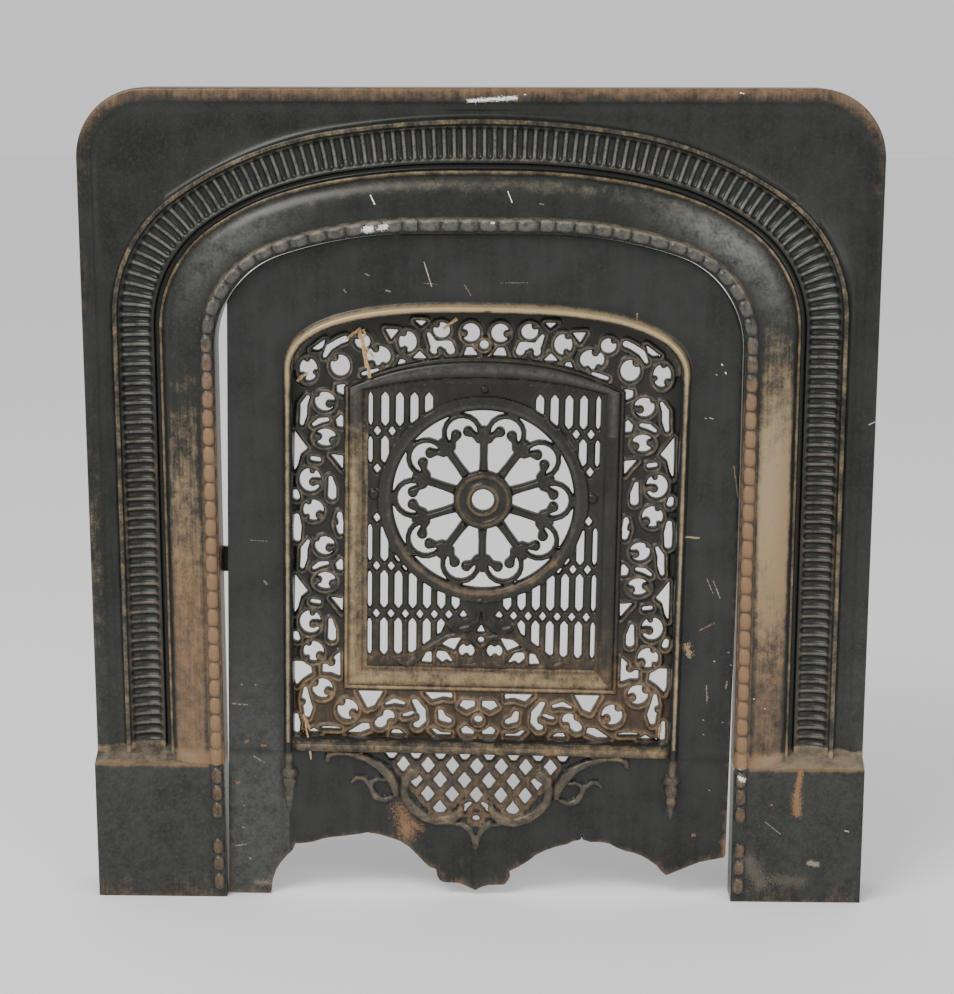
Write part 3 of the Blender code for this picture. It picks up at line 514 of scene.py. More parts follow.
    def square_to(self, offset: float, middle: float, p: Array) -> Array:
        """Return the stations on one arch line that lie straight across from another's.

        Args:
            offset: The line whose stations are wanted.
            middle: The line that `p` belongs to.
            p: Stations on the middle line.

        Returns:
            The stations on the wanted line.
        """
        angle = np.clip(p - 1, 0, 1) * math.pi / 2
        mx, mz = self.on_arch(middle, p)
        low = np.maximum(p - 0.3, 0)
        high = np.minimum(p + 0.3, 2)
        for _ in range(36):
            guess = (low + high) / 2
            x, z = self.on_arch(offset, guess)
            ahead = (x - mx) * np.sin(angle) + (z - mz) * np.cos(angle) > 0
            high = np.where(ahead, guess, high)
            low = np.where(ahead, low, guess)
        found = np.where(p > 0, (low + high) / 2, p)
        found[p >= 2] = 2
        return found

    def length_table(self, offset: float, first: float) -> tuple[Array, Array]:
        """Return lengths above the floor and their stations along an arch line."""
        p = np.linspace(first, 2, 4000)
        x, _, z = self.half_line("arch", offset, self.depth - 1, p, False, False)
        steps = np.hypot(np.diff(x), np.diff(z))
        return z[0] + np.concatenate([[0], np.cumsum(steps)]), p

    def bead_marks(self) -> tuple[Array, Array, Array]:
        """Return the bead string's stations, with each bead's place and half length there."""
        length, stations = self.length_table(self.bead_inner + self.bead_width / 2, -2)
        run = length[-1] - self.bead_foot
        count = round(run / self.bead_pitch)
        starts = self.bead_foot + np.arange(count + 1) * run / count
        spans = list(self.low_beads) + list(zip(starts[:-1], starts[1:]))
        turns = np.sin(np.linspace(-math.pi / 2, math.pi / 2, 11))
        marks = [0]
        place = [1]
        for low, high in spans:
            middle = (low + high) / 2
            half = (high - low) / 2
            for t in turns:
                at = middle + half * t
                if at > marks[-1] + 0.05:
                    marks.append(at)
                    place.append(t)
        marks[-1] = length[-1]
        return np.interp(marks, length, stations), np.array(place), np.array(marks)

    def bead_rows(self) -> None:
        """Add the bead string: long beads that touch end to end."""
        stations, place, _ = self.bead_marks()
        middle = self.bead_inner + self.bead_width / 2
        long = np.clip(1 - np.abs(place) ** 3.2, 0, 1)
        for turn in np.linspace(-math.pi / 2, math.pi / 2, 11):
            side = math.sin(turn)
            body = np.sqrt(np.clip(long - side * side, 0, 1))
            neck = 0.3 * math.sqrt(max(0, 1 - side * side))
            lift = self.bead_proud * np.maximum(body, neck * (stations > -1.86))
            offset = middle + self.bead_width / 2 * side
            across = self.square_to(offset, middle, stations)
            self.add_row("arch", offset, self.depth - 1, across, lift)

    def flute_rows(self) -> None:
        """Add the fluted cove: hollow flutes with round ends between soft ribs."""
        middle = (self.flute_span[0] + self.flute_span[1]) / 2
        length, stations = self.length_table(middle, -2)
        foot = self.band_foot
        run = length[-1] - foot
        count = round(run / self.flute_pitch - 0.5)
        pitch = run / (count + 0.5)
        marks = np.linspace(foot, length[-1], int((count + 0.5) * 10) + 1)
        low = np.linspace(0, foot, 16)[:-1]
        along = np.concatenate([low, marks])
        p = np.interp(along, length, stations)
        p = np.unique(np.concatenate([p, [-1, -0.97, -0.75, self.ledge_station]]))
        along = np.interp(p, stations, length)
        phase = (along - foot) / pitch - 0.5
        off = np.abs(phase - np.round(phase)) * pitch
        active = along > foot + 1
        first, last = self.flute_span
        offsets = np.concatenate([np.linspace(self.cove_inner + 0.6, 68.5, 8), np.linspace(70.5, 85.5, 8),
                                  np.linspace(87, self.cove_outer - 0.8, 8)])
        for offset in offsets:
            beyond = max(0, first - offset, offset - last)
            reach = np.hypot(off, beyond)
            scoop = np.clip(1 - (reach / self.flute_half) ** 2, 0, 1)
            rib = np.clip((off - self.flute_half + 0.4) / 1.7, 0, 1)
            crown = 0.7 * np.sin(rib * math.pi / 2) * max(0, 1 - beyond / 3)
            lift = np.where(active, crown - self.flute_depth * scoop, 0)
            self.add_row("arch", offset, self.cove_front(offset), self.square_to(offset, middle, p), lift)

    def cove_front(self, offset: float) -> float:
        """Return the plain cove's front at an offset."""
        low = self.depth - 23.5
        if offset < 74:
            return low + 3.4 * ((74 - offset) / 13) ** 2
        return low + 8.5 * ((offset - 74) / 20.6) ** 2

    def band_front(self, offset: float) -> float:
        """Return the smooth band's front at an offset: nearly flat, then rolling over."""
        t = (offset - 13.3) / 38.3
        return self.depth - 14.5 + 13.5 * max(0, 1 - t ** 3.2) ** 0.62

    def add_rows(self) -> None:
        """Add every line in order, from the return across the front and round the back."""
        plain = self.plain_stations()
        d = self.depth
        lines = [("arch", 0, self.return_back, "straight"), ("arch", 0, d - 2.4, ""),
                 ("arch", 0.35, d - 1.4, ""), ("arch", 0.9, d - 1, "")]
        self.add_lines(lines, plain)
        self.bead_rows()
        band = [13.9, 16, 20, 25, 30, 35, 39, 42, 44.5, 46.5, 48, 49.3, 50.2, 50.9, 51.4]
        self.add_lines([("arch", w, self.band_front(w), "") for w in band], plain)
        fillet = [(51.6, 14.6), (51.9, 13.9), (53.6, 13.9), (54.2, 14.5), (54.5, 16), (55, 23.2),
                  (55.8, 24.3), (59.2, 24.3), (60.2, 23.4), (60.6, 20.7)]
        self.add_lines([("arch", w, d - back, "") for w, back in fillet], plain)
        self.flute_rows()
        edge = [(94.4, 14.8), (95, 13.5), (95.7, 13), (98.2, 13), (98.9, 13.5), (99.4, 15.2), (100, 17)]
        self.add_lines([("arch", w, d - back, "") for w, back in edge], plain)
        hollow = [(0.08, 18.2), (0.25, 19.6), (0.5, 20.4), (0.75, 20.4), (0.92, 19.9)]
        self.add_lines([("panel", share, d - back, "") for share, back in hollow], plain)
        rim = [(20.5, 19.5), (18, 18.6), (15.8, 17.4), (14, 16.2), (12.8, 15), (11.2, 14.2),
               (9, 14), (3, 14), (1.5, 14.3), (0.5, 15.2), (0, 16.8)]
        self.add_lines([("outline", w, d - back, "") for w, back in rim], plain)
        back = [("outline", 0, 2, "straight"), ("outline", 0.6, 0, "straight"),
                ("outline", self.wall, 0, "straight"), ("outline", self.wall, d - 21, "hidden"),
                ("arch", self.band_width, d - 22, "hidden"),
                ("arch", self.cove_outer - 10, d - 31, "hidden"),
                ("arch", 57, d - 31, "hidden"), ("arch", 45, d - 14.5, "hidden"),
                ("arch", self.wall, d - 7.5, "hidden"), ("arch", self.wall, self.return_back, "straight")]
        self.add_lines(back, plain)

    def add_lines(self, lines: list, stations: Array) -> None:
        """Add plain lines of (track, offset, front, kind)."""
        for track, offset, front, kind in lines:
            self.add_row(track, offset, front, stations, None, kind == "straight", kind == "hidden")

    @staticmethod
    def zip_rows(first: Row, second: Row, start_a: int, start_b: int) -> list:
        """Return faces between two lines, whose stations may differ.

        Args:
            first: One line.
            second: The next line.
            start_a: Index of the first line's first point.
            start_b: Index of the second line's first point.

        Returns:
            Quads and triangles.
        """
        a = first.stations
        b = second.stations
        if len(a) == len(b):
            return [(start_a + i, start_a + i + 1, start_b + i + 1, start_b + i) for i in range(len(a) - 1)]
        faces = []
        i = 0
        j = 0
        while i < len(a) - 1 or j < len(b) - 1:
            more_a = i < len(a) - 1
            more_b = j < len(b) - 1
            if more_a and more_b and abs(a[i + 1] - b[j + 1]) < 1e-6:
                faces.append((start_a + i, start_a + i + 1, start_b + j + 1, start_b + j))
                i += 1
                j += 1
            elif more_a and (not more_b or a[i + 1] < b[j + 1]):
                faces.append((start_a + i, start_a + i + 1, start_b + j))
                i += 1
            else:
                faces.append((start_a + i, start_b + j + 1, start_b + j))
                j += 1
        return faces

    def wear(self) -> dict[str, Array]:
        """Return how worn, rusty and dusty the casting is at each point, and where shade and sheen are
        painted on.

        Returns:
            One value a point, from 0 to 1, under each layer's name.
        """
        w = np.concatenate([np.full(len(row.x), row.across) for row in self.rows])
        x = np.concatenate([row.x for row in self.rows])
        z = np.concatenate([row.z for row in self.rows])
        p = np.concatenate([row.stations for row in self.rows])
        lift = np.concatenate([row.lift for row in self.rows])
        shown = w < 1999
        arch = w < 400
        inset = np.where((w >= 999) & shown, w - 1000, 99)
        half = np.minimum(p, 4 - p)
        high = ease(430, 640, z)
        right = x > 0
        bead = arch & (w >= self.bead_inner) & (w <= self.bead_inner + self.bead_width) & (lift > 0.5)
        above = half > -0.45
        low = half <= -0.98
        fillet = arch & (w > 51.2) & (w < 54.3) & above
        edge = arch & (w > 94.9) & (w < 99) & above
        lip = arch & (w < 1.2) & above
        cove = arch & (w > 61) & (w < 94.5) & above
        rib = (cove & (w > 65.5) & (w < 90.5)) * ease(0.1, 0.6, lift)
        body = bead * ease(0.9, 3.6, lift)
        band = arch & (w > 13.5) & (w < 51.6) & (half > -0.6)
        # Where the band's upper shoulders catch the light, for its painted sheen.
        shoulder = hump(np.abs(x), 232, 105) * hump(z, 655, 130)
        jamb = ease(640, 430, z)
        crest = fillet * 0.5 + edge * 0.38 + lip * (0.42 - 0.15 * high)
        crest += body * (0.34 + 0.04 * high) + rib * (0.44 - 0.04 * high)
        crest += ease(16, 6, inset) * above * (0.12 + 0.2 * ease(700, 790, z) - 0.06 * right * (z < 700))
        ledge = (half > -1) & (half < 0) & shown
        arris = hump(z, self.arris, 4) * (half < -0.8) * shown
        crest += 0.55 * arris * ((w > 14) | (w < 1.3))
        # Painted shade: the groove beside the fillet, the flute scoops and the necks between beads are
        # darkened where shadow falls.
        hollow = np.where(arch & (w > 54.25) & (w < 60.7) & above, 1.0, 0.0)
        hollow += cove * ease(0, -1.3, lift) * (0.62 - 0.25 * ease(430, 250, z))
        hollow += (arch & (w < 14.2) & (w > 1) & (lift >= 0)) * ease(1.4, 0.5, lift) * (0.55 - 0.35 * jamb)
        across = ease(12, 19, w) * ease(52, 44, w)
        rust = band * across * ease(560, 300, z) * np.where(right, 0.53, 0.64)
        rust += (arch & (w < 14.2) & (half > -1)) * 0.5 * jamb + 0.4 * arris * (w > 14)
        rust += (band & right) * hump(w, 42, 14) * hump(z, 430, 190) * 0.35
        rust += body * (0.5 - 0.42 * high)
        ends = hump(w, 63.6, 3.4) + hump(w, 92.4, 2.6)
        rust += cove * (ends * 0.25 + 0.16) * jamb + rib * 0.2 * jamb
        rust += 0.45 * hump(z, 0, 9) * shown
        rust += 0.3 * hump(z, self.arris - 1, 12) * low * shown * (w > 14)
        rust += ease(22, 3, inset) * (0.27 * above + 0.3 * ease(700, 799, z) - 0.06 * right * (z < 700))
        dust = (ledge & (half > -0.98)) * 0.5 * ease(13, 30, w + 200 * (w > 400))
        dust += (ledge & right & (w > 14)) * 0.14
        rust += ledge * 0.3
        dust += cove * ends * 0.42 * ease(560, 680, z)
        dust += (arch & (w > 9.6) & (w < 15)) * 0.5 * ease(540, 620, z)
        dust += band * 0.38 * hump(w, 42, 17) * ease(620, 700, z)
        dust += body * 0.1 + fillet * 0.25 + rib * 0.08
        gold = band * across * hump(z, 400, 290) * np.where(right, 1, 0.55)
        gold += (ledge & right) * 0.35
        gold += ease(26, 8, inset) * hump(z, 330, 330) * np.where(right, 0.1, 0.4)
        gold += (fillet | edge) * 0.45 + body * 0.34 * (1 - high)
        gold += band * 0.16 * ease(560, 640, z) * hump(w, 42, 24)
        # Painted sheen: a lighter film on the band's shoulders and painted glints on the flute ribs and
        # bead tops; the low parts get a dust film.
        painted_sheen_and_dust = band * shoulder * hump(w, 34, 26) * np.where(right, 0.85, 0.48)
        painted_sheen_and_dust += rib * (0.42 + 0.5 * high) + bead * 0.5 * high * ease(1, 3, lift)
        painted_sheen_and_dust += 0.12 * ease(420, 120, z) * shown
        values = {"crest": crest, "hollow": hollow, "rust": rust, "dust": dust, "gold": gold, "painted_sheen_and_dust": painted_sheen_and_dust}
        return {label: shown * np.clip(v, 0, 1) for label, v in values.items()}

    def build(self) -> Piece:
        """Build the casting and return it."""
        self.add_rows()
        starts = np.concatenate([[0], np.cumsum([len(row.x) for row in self.rows])]).astype(int)
        faces = []
        count = len(self.rows)
        for i in range(count):
            j = (i + 1) % count
            faces += self.zip_rows(self.rows[i], self.rows[j], int(starts[i]), int(starts[j]))
        faces.append([int(s) for s in starts[:-1]])
        faces.append([int(s) - 1 for s in starts[1:]][::-1])
        x = np.concatenate([row.x for row in self.rows])
        depth = np.concatenate([row.front for row in self.rows])
        z = np.concatenate([row.z for row in self.rows])
        points = upright_points(x, depth, z)
        faces = outward(points, faces)
        return make_piece("surround_casting", points, faces, self.wear(), self.material, ("surround",),
                          60)


@dataclass
class ReliefPlate:
    """A pierced plate with a flat back and a modelled front, in the leaning frame."""

    material: Material
    limits: tuple[float, float, float, float]
    contour_step: float
    back: float
    edge_round: float = 1.3
    widen: float = 0.6

    def solid(self, x: Array, z: Array) -> Array:
        """Return how far points lie inside the solid, negative in openings.

        Args:
            x: Where, across.
            z: Where, up.

        Returns:
            The distance in millimetres.
        """
        raise NotImplementedError

    def front(self, x: Array, z: Array, inside: Array) -> Array:
        """Return the front's height at points.

        Args:
            x: Where, across.
            z: Where, up.
            inside: Distance inside the solid.

        Returns:
            The front before the back plane.
        """
        raise NotImplementedError

    def fill(self) -> tuple[Array, Array]:
        """Return the points, away from the edges, that carry the front's relief."""
        raise NotImplementedError

    def wear(self, x: Array, z: Array, inside: Array, height: Array) -> dict[str, Array]:
        """Return how worn, rusty and dusty the front is at points, and where shade and sheen are painted
        on.

        Args:
            x: Where, across.
            z: Where, up.
            inside: Distance inside the solid.
            height: The front's height.

        Returns:
            One value a point under each layer's name.
        """
        raise NotImplementedError

    def carve(self, inside: Array, x: Array, z: Array, shapes: list, reach: float = 8.0) -> Array:
        """Cut and keep shapes in order, each only near itself.

        Args:
            inside: Distance inside the solid so far.
            x: Where, across.
            z: Where, up.
            shapes: Pairs of a shape and whether it is kept instead of cut.
            reach: How far from a shape its distance matters.

        Returns:
            The distance inside the solid after all the shapes.
        """
        found = inside.copy()
        for shape, kept in shapes:
            near = close_to(shape, x, z, reach)
            if not near.any():
                continue
            away = shape.distance(x[near], z[near])
            here = found[near]
            if kept:
                blend = 1.2
                share = np.clip(0.5 + 0.5 * (-away - here) / blend, 0, 1)
                found[near] = here + (-away - here) * share + blend * share * (1 - share)
            else:
                found[near] = np.minimum(here, away - self.widen)
        return found

    def contour(self) -> tuple[Array, list]:
        """Return the edge points of the solid and the pairs that join them.

        Returns:
            Flat points, and pairs of their indices.
        """
        x0, x1, z0, z1 = self.limits
        xs = np.arange(x0, x1 + self.contour_step, self.contour_step)
        zs = np.arange(z0, z1 + self.contour_step, self.contour_step)
        gx, gz = np.meshgrid(xs, zs)
        level = self.solid(gx, gz)
        level = np.where(np.abs(level) < 1e-4, 1e-4, level)
        full = level > 0
        points = []
        ids = {}

        def crossings(a: Array, b: Array, dx: float, dz: float, kind: int) -> None:
            """Add a point where the level changes sign between two neighbours."""
            rows, cols = np.nonzero((a > 0) != (b > 0))
            t = np.clip(a[rows, cols] / (a[rows, cols] - b[rows, cols]), 0.08, 0.92)
            start = len(points)
            points.extend(np.stack([xs[cols] + dx * t, zs[rows] + dz * t], -1).tolist())
            cells = zip(rows.tolist(), cols.tolist())
            ids.update({(kind, r, c): start + i for i, (r, c) in enumerate(cells)})

        crossings(level[:, :-1], level[:, 1:], self.contour_step, 0, 0)
        crossings(level[:-1, :], level[1:, :], 0, self.contour_step, 1)
        codes = (full[:-1, :-1] * 1 + full[:-1, 1:] * 2 + full[1:, 1:] * 4 + full[1:, :-1] * 8)
        sides = {"s": (0, 0, 0), "e": (1, 0, 1), "n": (0, 1, 0), "w": (1, 0, 0)}
        turns = {1: ["sw"], 2: ["es"], 3: ["ew"], 4: ["ne"], 5: ["sw", "ne"], 6: ["ns"], 7: ["nw"],
                 8: ["wn"], 9: ["sn"], 10: ["es", "wn"], 11: ["en"], 12: ["we"], 13: ["se"], 14: ["ws"]}
        edges = []
        for r, c in zip(*(v.tolist() for v in np.nonzero((codes > 0) & (codes < 15)))):
            for a, b in turns[int(codes[r, c])]:
                ka, ra, ca = sides[a]
                kb, rb, cb = sides[b]
                edges.append((ids[(ka, r + ra, c + ca)], ids[(kb, r + rb, c + cb)]))
        return np.array(points), edges

    def triangles(self, points: Array, edges: list) -> tuple[Array, list]:
        """Triangulate points between the solid's edges.

        Args:
            points: Flat points, the edge points first.
            edges: Pairs of edge points.

        Returns:
            The triangulation's own points, and its triangles within the solid.
        """
        verts, _, tris, _, _, _ = delaunay_2d_cdt([Vector(p) for p in points.tolist()], edges, [], 0, 1e-5)
        flat = np.array([tuple(v) for v in verts])
        faces = np.array([t[:3] for t in tris])
        centres = flat[faces].mean(axis=1)
        keep = self.solid(centres[:, 0], centres[:, 1]) > 0
        return flat, faces[keep].tolist()

    def arrays(self) -> tuple[Array, list, dict[str, Array]]:
        """Return the closed plate's points, faces and wear.

        Returns:
            World points, faces, and wear under each layer's name.
        """
        rim, edges = self.contour()
        fx, fz = self.fill()
        points = np.concatenate([rim, np.stack([fx, fz], -1)])
        flat, faces = self.triangles(points, edges)
        used = sorted({i for face in faces for i in face})
        slot = {v: k for k, v in enumerate(used)}
        faces = [[slot[i] for i in face] for face in faces]
        x, z = flat[used].T
        once = {}
        for a, b, c in faces:
            for pair in ((a, b), (b, c), (c, a)):
                if (pair[1], pair[0]) in once:
                    del once[(pair[1], pair[0])]
                else:
                    once[pair] = True
        border = sorted({i for pair in once for i in pair})
        inside = np.maximum(self.solid(x, z), 0)
        inside[border] = 0
        height = self.front(x, z, inside)
        lowered = self.edge_round * (1 - round_over(inside / self.edge_round))
        wear = self.wear(x, z, inside, height)
        count = len(x)
        place = {v: count + k for k, v in enumerate(border)}
        walls = [(b, a, place[a], place[b]) for a, b in once]
        local = {v: k for k, v in enumerate(border)}
        back_edges = [(local[a], local[b]) for a, b in once]
        back_flat, back_faces = self.triangles(np.stack([x[border], z[border]], -1), back_edges)
        if len(back_flat) != len(border):
            log.warning("the back's triangulation changed its points")
        faces += walls + [[count + i for i in face][::-1] for face in back_faces]
        bx, bz = x[border], z[border]
        full_x = np.concatenate([x, bx])
        full_z = np.concatenate([z, bz])
        full_front = np.concatenate([height - lowered, np.full(len(border), self.back)])
        for label, values in wear.items():
            wear[label] = np.concatenate([np.clip(values, 0.0, 1.0), np.zeros(len(border))])
        return leaning_points(full_x, full_front, full_z), faces, wear

    def grid_fill(self, x0: float, x1: float, z0: float, z1: float, step: float) -> tuple[Array, Array]:
        """Return staggered points of a rectangle that lie clear of the solid's edges.

        Args:
            x0: Left limit.
            x1: Right limit.
            z0: Lower limit.
            z1: Upper limit.
            step: Distance between points.

        Returns:
            The points' x and z.
        """
        xs = np.arange(x0, x1, step, dtype=float)
        zs = np.arange(z0, z1, step * 0.87)
        gx, gz = np.meshgrid(xs, zs)
        gx[1::2] += step / 2
        gx = gx.ravel()
        gz = gz.ravel()
        keep = self.solid(gx, gz) > 0.5 * step
        return gx[keep], gz[keep]


@dataclass
class GrillePanel(ReliefPlate):
    """The pierced panel: scroll border, picture-frame rails, lattice and wheel."""

    limits: tuple[float, float, float, float] = (-193.4, 193.4, 156.3, 596)
    contour_step: float = 1
    back: float = 37
    base: float = 42
    centre: float = -1.8
    aperture_half: float = 186
    spring: float = 530
    crown: float = 588.5
    sill: float = 163.5
    seat: float = 6
    seat_front: float = 47.7
    rail_half: float = 134.5
    rail_width: float = 22
    rail_bottom: float = 212
    rail_crown: float = 545
    wheel_z: float = 405
    wheel_outer: float = 102
    wheel_open: float = 88
    hub_outer: float = 29
    hub_hole: float = 10.4
    spokes: int = 10
    pitch: float = 14.3
    slot_half: float = 3.5
    widen: float = 0.3
    period: float = 143
    shapes: list = field(default_factory=list)

    def aperture(self, x: Array, z: Array, grow: float) -> Array:
        """Return roughly how far points lie inside the cover's aperture, grown outwards.

        Args:
            x: Where, across.
            z: Where, up.
            grow: How far the aperture is grown.

        Returns:
            The distance, negative outside.
        """
        half = self.aperture_half + grow
        rise = self.crown + grow - self.spring
        up = np.clip((z - self.spring) / rise, 0, None)
        reach = (np.abs(x) / half) ** (2 / 0.72) + up ** (2 / 0.84)
        arch = (1 - reach ** 0.4) * rise
        side = half - np.abs(x)
        return np.minimum(np.where(z > self.spring, arch, side), z - (self.sill - grow))

    def strip_unit(self) -> list:
        """Return one period of the side strips' openings, drawn for the upper one."""
        return [
            hole(154, 499, 9.3, 8.8), leaf(146, 498, 2.6, 149.8, 496.8, 4.2),
            leaf(162, 508, 2.2, 161.5, 505.5, 2.6), slot(165, 476, 1.4, 159, 480, 2.3, 152, 481.3, 1.6),
            hole(153.5, 463.8, 9.8, 8), leaf(164, 461, 2.4, 160.6, 464.2, 3.9),
            leaf(144, 463, 2.4, 146.8, 460.8, 3.9),
            notch(136.8, 474, 142.2, 475, 143.4, 481, 139, 486, 136.8, 485),
            slot(170.6, 503, 1.2, 174.6, 495, 2.8, 174.8, 486, 2.8, 176.6, 477, 1.6),
            notch(183.6, 470, 178, 462, 171, 452.8, 178, 447, 180.8, 436, 184, 430),
            slot(166.2, 442.6, 1.9, 160.2, 441.8, 1.9),
            notch(148.6, 447, 136.6, 446, 136.6, 432, 141, 438), hole(168.4, 421.5, 10, 11.2),
            leaf(156, 418.5, 3.4, 162, 420.5, 3.4, 165.6, 419.4, 4.4),
            leaf(167, 433, 2.4, 166.4, 430.4, 3), slot(148.6, 423.5, 1.6, 147, 414, 3.4, 147.2, 406, 3.6),
            slot(182.6, 409, 2.2, 181.8, 404.5, 2.8), hole(165.2, 391.4, 9.6, 9.8),
            leaf(156, 384.5, 3, 159.2, 386.6, 4.4), leaf(171.4, 402, 3, 169.8, 399.6, 3),
            leaf(172.4, 383, 2.4, 171.4, 384.6, 2.6),
        ]

    def strip_links(self) -> list:
        """Return the openings between the two periods of a side strip."""
        return [
            slot(181.6, 385, 2.2, 181, 375, 3.6, 181.4, 363, 3),
            slot(139.6, 388, 1.8, 140.2, 379, 3.6, 139, 370, 2.2), leaf(143.4, 382, 2, 142.8, 378.6, 2.2),
            notch(134.6, 516, 142.6, 515, 142.6, 508.6, 136, 505.4, 134.6, 505.6),
        ]

    def corner_shapes(self) -> list:
        """Return the openings at the foot of a side strip and in the lower corner."""
        return [
            notch(184.2, 238, 176, 238, 168, 232.6, 167, 226, 176, 220, 182.4, 213, 184.2, 219),
            notch(139.2, 248, 144, 244, 148, 236, 156, 235.4, 156.2, 226.6, 148, 226.4, 139.2, 223),
            leaf(151, 243, 2.6, 147.8, 237.6, 4.4), hole(156.4, 210.4, 9.6, 9.8),
            leaf(167, 218, 3, 164.2, 216, 4.2), leaf(146, 206, 3, 151, 207.4, 4.3),
            slot(173.4, 210, 1.4, 173.2, 200, 3.6, 171, 190, 4.2, 171.8, 182, 2.4),
            leaf(180, 198, 2.4, 176.2, 195.4, 3.2), slot(182.4, 182, 1.6, 181.6, 174, 2.6, 182, 166, 2.2),
            notch(178, 164.8, 170, 166, 165, 169, 158, 164.8),
            slot(157, 169.4, 0.8, 149, 170, 1.3, 139, 169.2, 0.8), hole(131.4, 189, 9.8, 10.4),
            leaf(122, 181, 3, 126.2, 184.8, 4.4), leaf(141, 199, 3, 137.6, 196.8, 4.2),
        ]

    def bottom_shapes(self) -> list:
        """Return the bottom border's openings, right of the rosette."""
        return [
            notch(120, 208.6, 95, 208.6, 104, 193, 110.6, 190.4),
            notch(131, 164.8, 116, 175, 109, 175.4, 107.8, 169, 118, 164.8),
            slot(90, 183.4, 6, 98, 175, 4.8), leaf(103, 187, 3, 98.4, 186.2, 4.2),
            leaf(84, 174, 3.2, 87.4, 175.6, 4.4),
            slot(91.4, 195.4, 1.2, 83.4, 198.6, 2.6, 74.8, 196.4, 1.7),
            slot(63, 198.6, 2.6, 57, 189, 4, 56.4, 179.6, 4, 60.6, 174.6, 3.6),
            slot(66, 186, 2.4, 73.6, 184.2, 1.6), leaf(72, 177, 3.4, 62.4, 182, 4.2),
            notch(87, 164.6, 85, 169.2, 79, 169.4, 72.8, 164.6),
            notch(54, 208.4, 26.4, 208.4, 26.4, 202.4, 35, 203.8, 46.2, 200.4),
            slot(37.6, 188.6, 2.2, 35.6, 182, 3.6, 29.6, 179.6, 2.8),
            notch(47.2, 170.4, 43, 171, 37, 167.4, 27.2, 167, 27.2, 164.4, 41, 164.4),
            notch(19.2, 195, 15.4, 201, 4, 200.6, 4, 194.4, 12, 190.4),
            notch(17.2, 171, 12.2, 174.6, 4.2, 169.6, 4.6, 165.4, 15, 165.6),
        ]

    def top_shapes(self) -> list:
        """Return the arched top border's openings, right of its rosette."""
        return [
            hole(14.2, 568.4, 8.2, 8.4), leaf(23, 569, 3, 20.4, 567.6, 3.8),
            notch(6.2, 545.6, 20.8, 545.6, 17.6, 554.2, 12.6, 554.2), hole(42.2, 570.2, 7.4, 7),
            leaf(50, 577, 2.4, 46.8, 575.4, 3.2),
            slot(33.4, 551, 3.6, 35.4, 556.2, 3.6, 48, 555.8, 3.4, 49, 551, 3.6),
            slot(50, 557, 3.2, 54.6, 566, 1.3), leaf(42, 545, 3.4, 43.4, 550.8, 3.6),
            notch(56, 542.8, 70, 542.4, 63, 549.6), hole(74.6, 558.4, 8, 9.4),
            leaf(81, 569, 2.6, 78.6, 566.4, 3.2), leaf(80, 549, 2.6, 77.6, 551.2, 3.2),
            notch(83.6, 569.6, 96, 570.4, 90.6, 560.6), notch(57, 578.6, 68, 579, 61.8, 574),
            notch(75.6, 533.8, 85.4, 534, 81.4, 541.6, 77.4, 540.6), hole(102.6, 544.4, 11, 9),
            leaf(108, 554, 3, 105.4, 551, 3.8), leaf(111, 533, 3, 109, 536.4, 3.6),
            leaf(99, 533, 3, 98.4, 535.4, 3), hole(118, 558, 6.8, 6.6),
            leaf(125, 565, 2.4, 122.4, 562.6, 2.8),
            slot(103.6, 530.2, 1.3, 110, 528.6, 1.8, 117.4, 526.4, 1.3), hole(139.4, 534.4, 8.8, 9.8),
            leaf(148.6, 545.4, 3, 145, 542, 4.2),
            slot(154.6, 543, 1.4, 150, 551.6, 2.6, 140.4, 557.6, 2.4, 134.6, 560, 2.6),
            hole(170, 530, 8, 10.4), leaf(179, 522, 3, 175.6, 523.6, 3.8),
            leaf(171.6, 542, 2.4, 171.2, 540, 3), leaf(162, 526, 2.4, 163.6, 527.4, 2.6),
            notch(167.2, 549.4, 154, 559.2, 156.4, 551.6, 160.4, 549),
        ]

    def lattice(self) -> list:
        """Return the field's tall pointed slots and the diamonds between their rows."""
        rows = ((250, 280, 1), (298, 328, 0), (345, 375, 4), (443, 462, 4), (480, 505, 2))
        tip = 4.5
        half = self.slot_half
        found = []
        for low, high, first in rows:
            for column in range(first, 7):
                u = 25.4 + column * 14.1
                wide = 1.8 if column == 6 else half
                found.append((Facet(((u, low - tip), (u + wide, low), (u + wide, high), (u, high + tip),
                                     (u - wide, high), (u - wide, low))), False))
        for z, first in ((288.3, 0), (336.5, 4), (385, 6), (434, 6), (471, 5)):
            for column in range(first, 7):
                u = 17.6 + column * self.pitch
                found.append((Facet(((u + half, z), (u, z + 4.8), (u - half, z), (u, z - 4.8))), False))
        return found

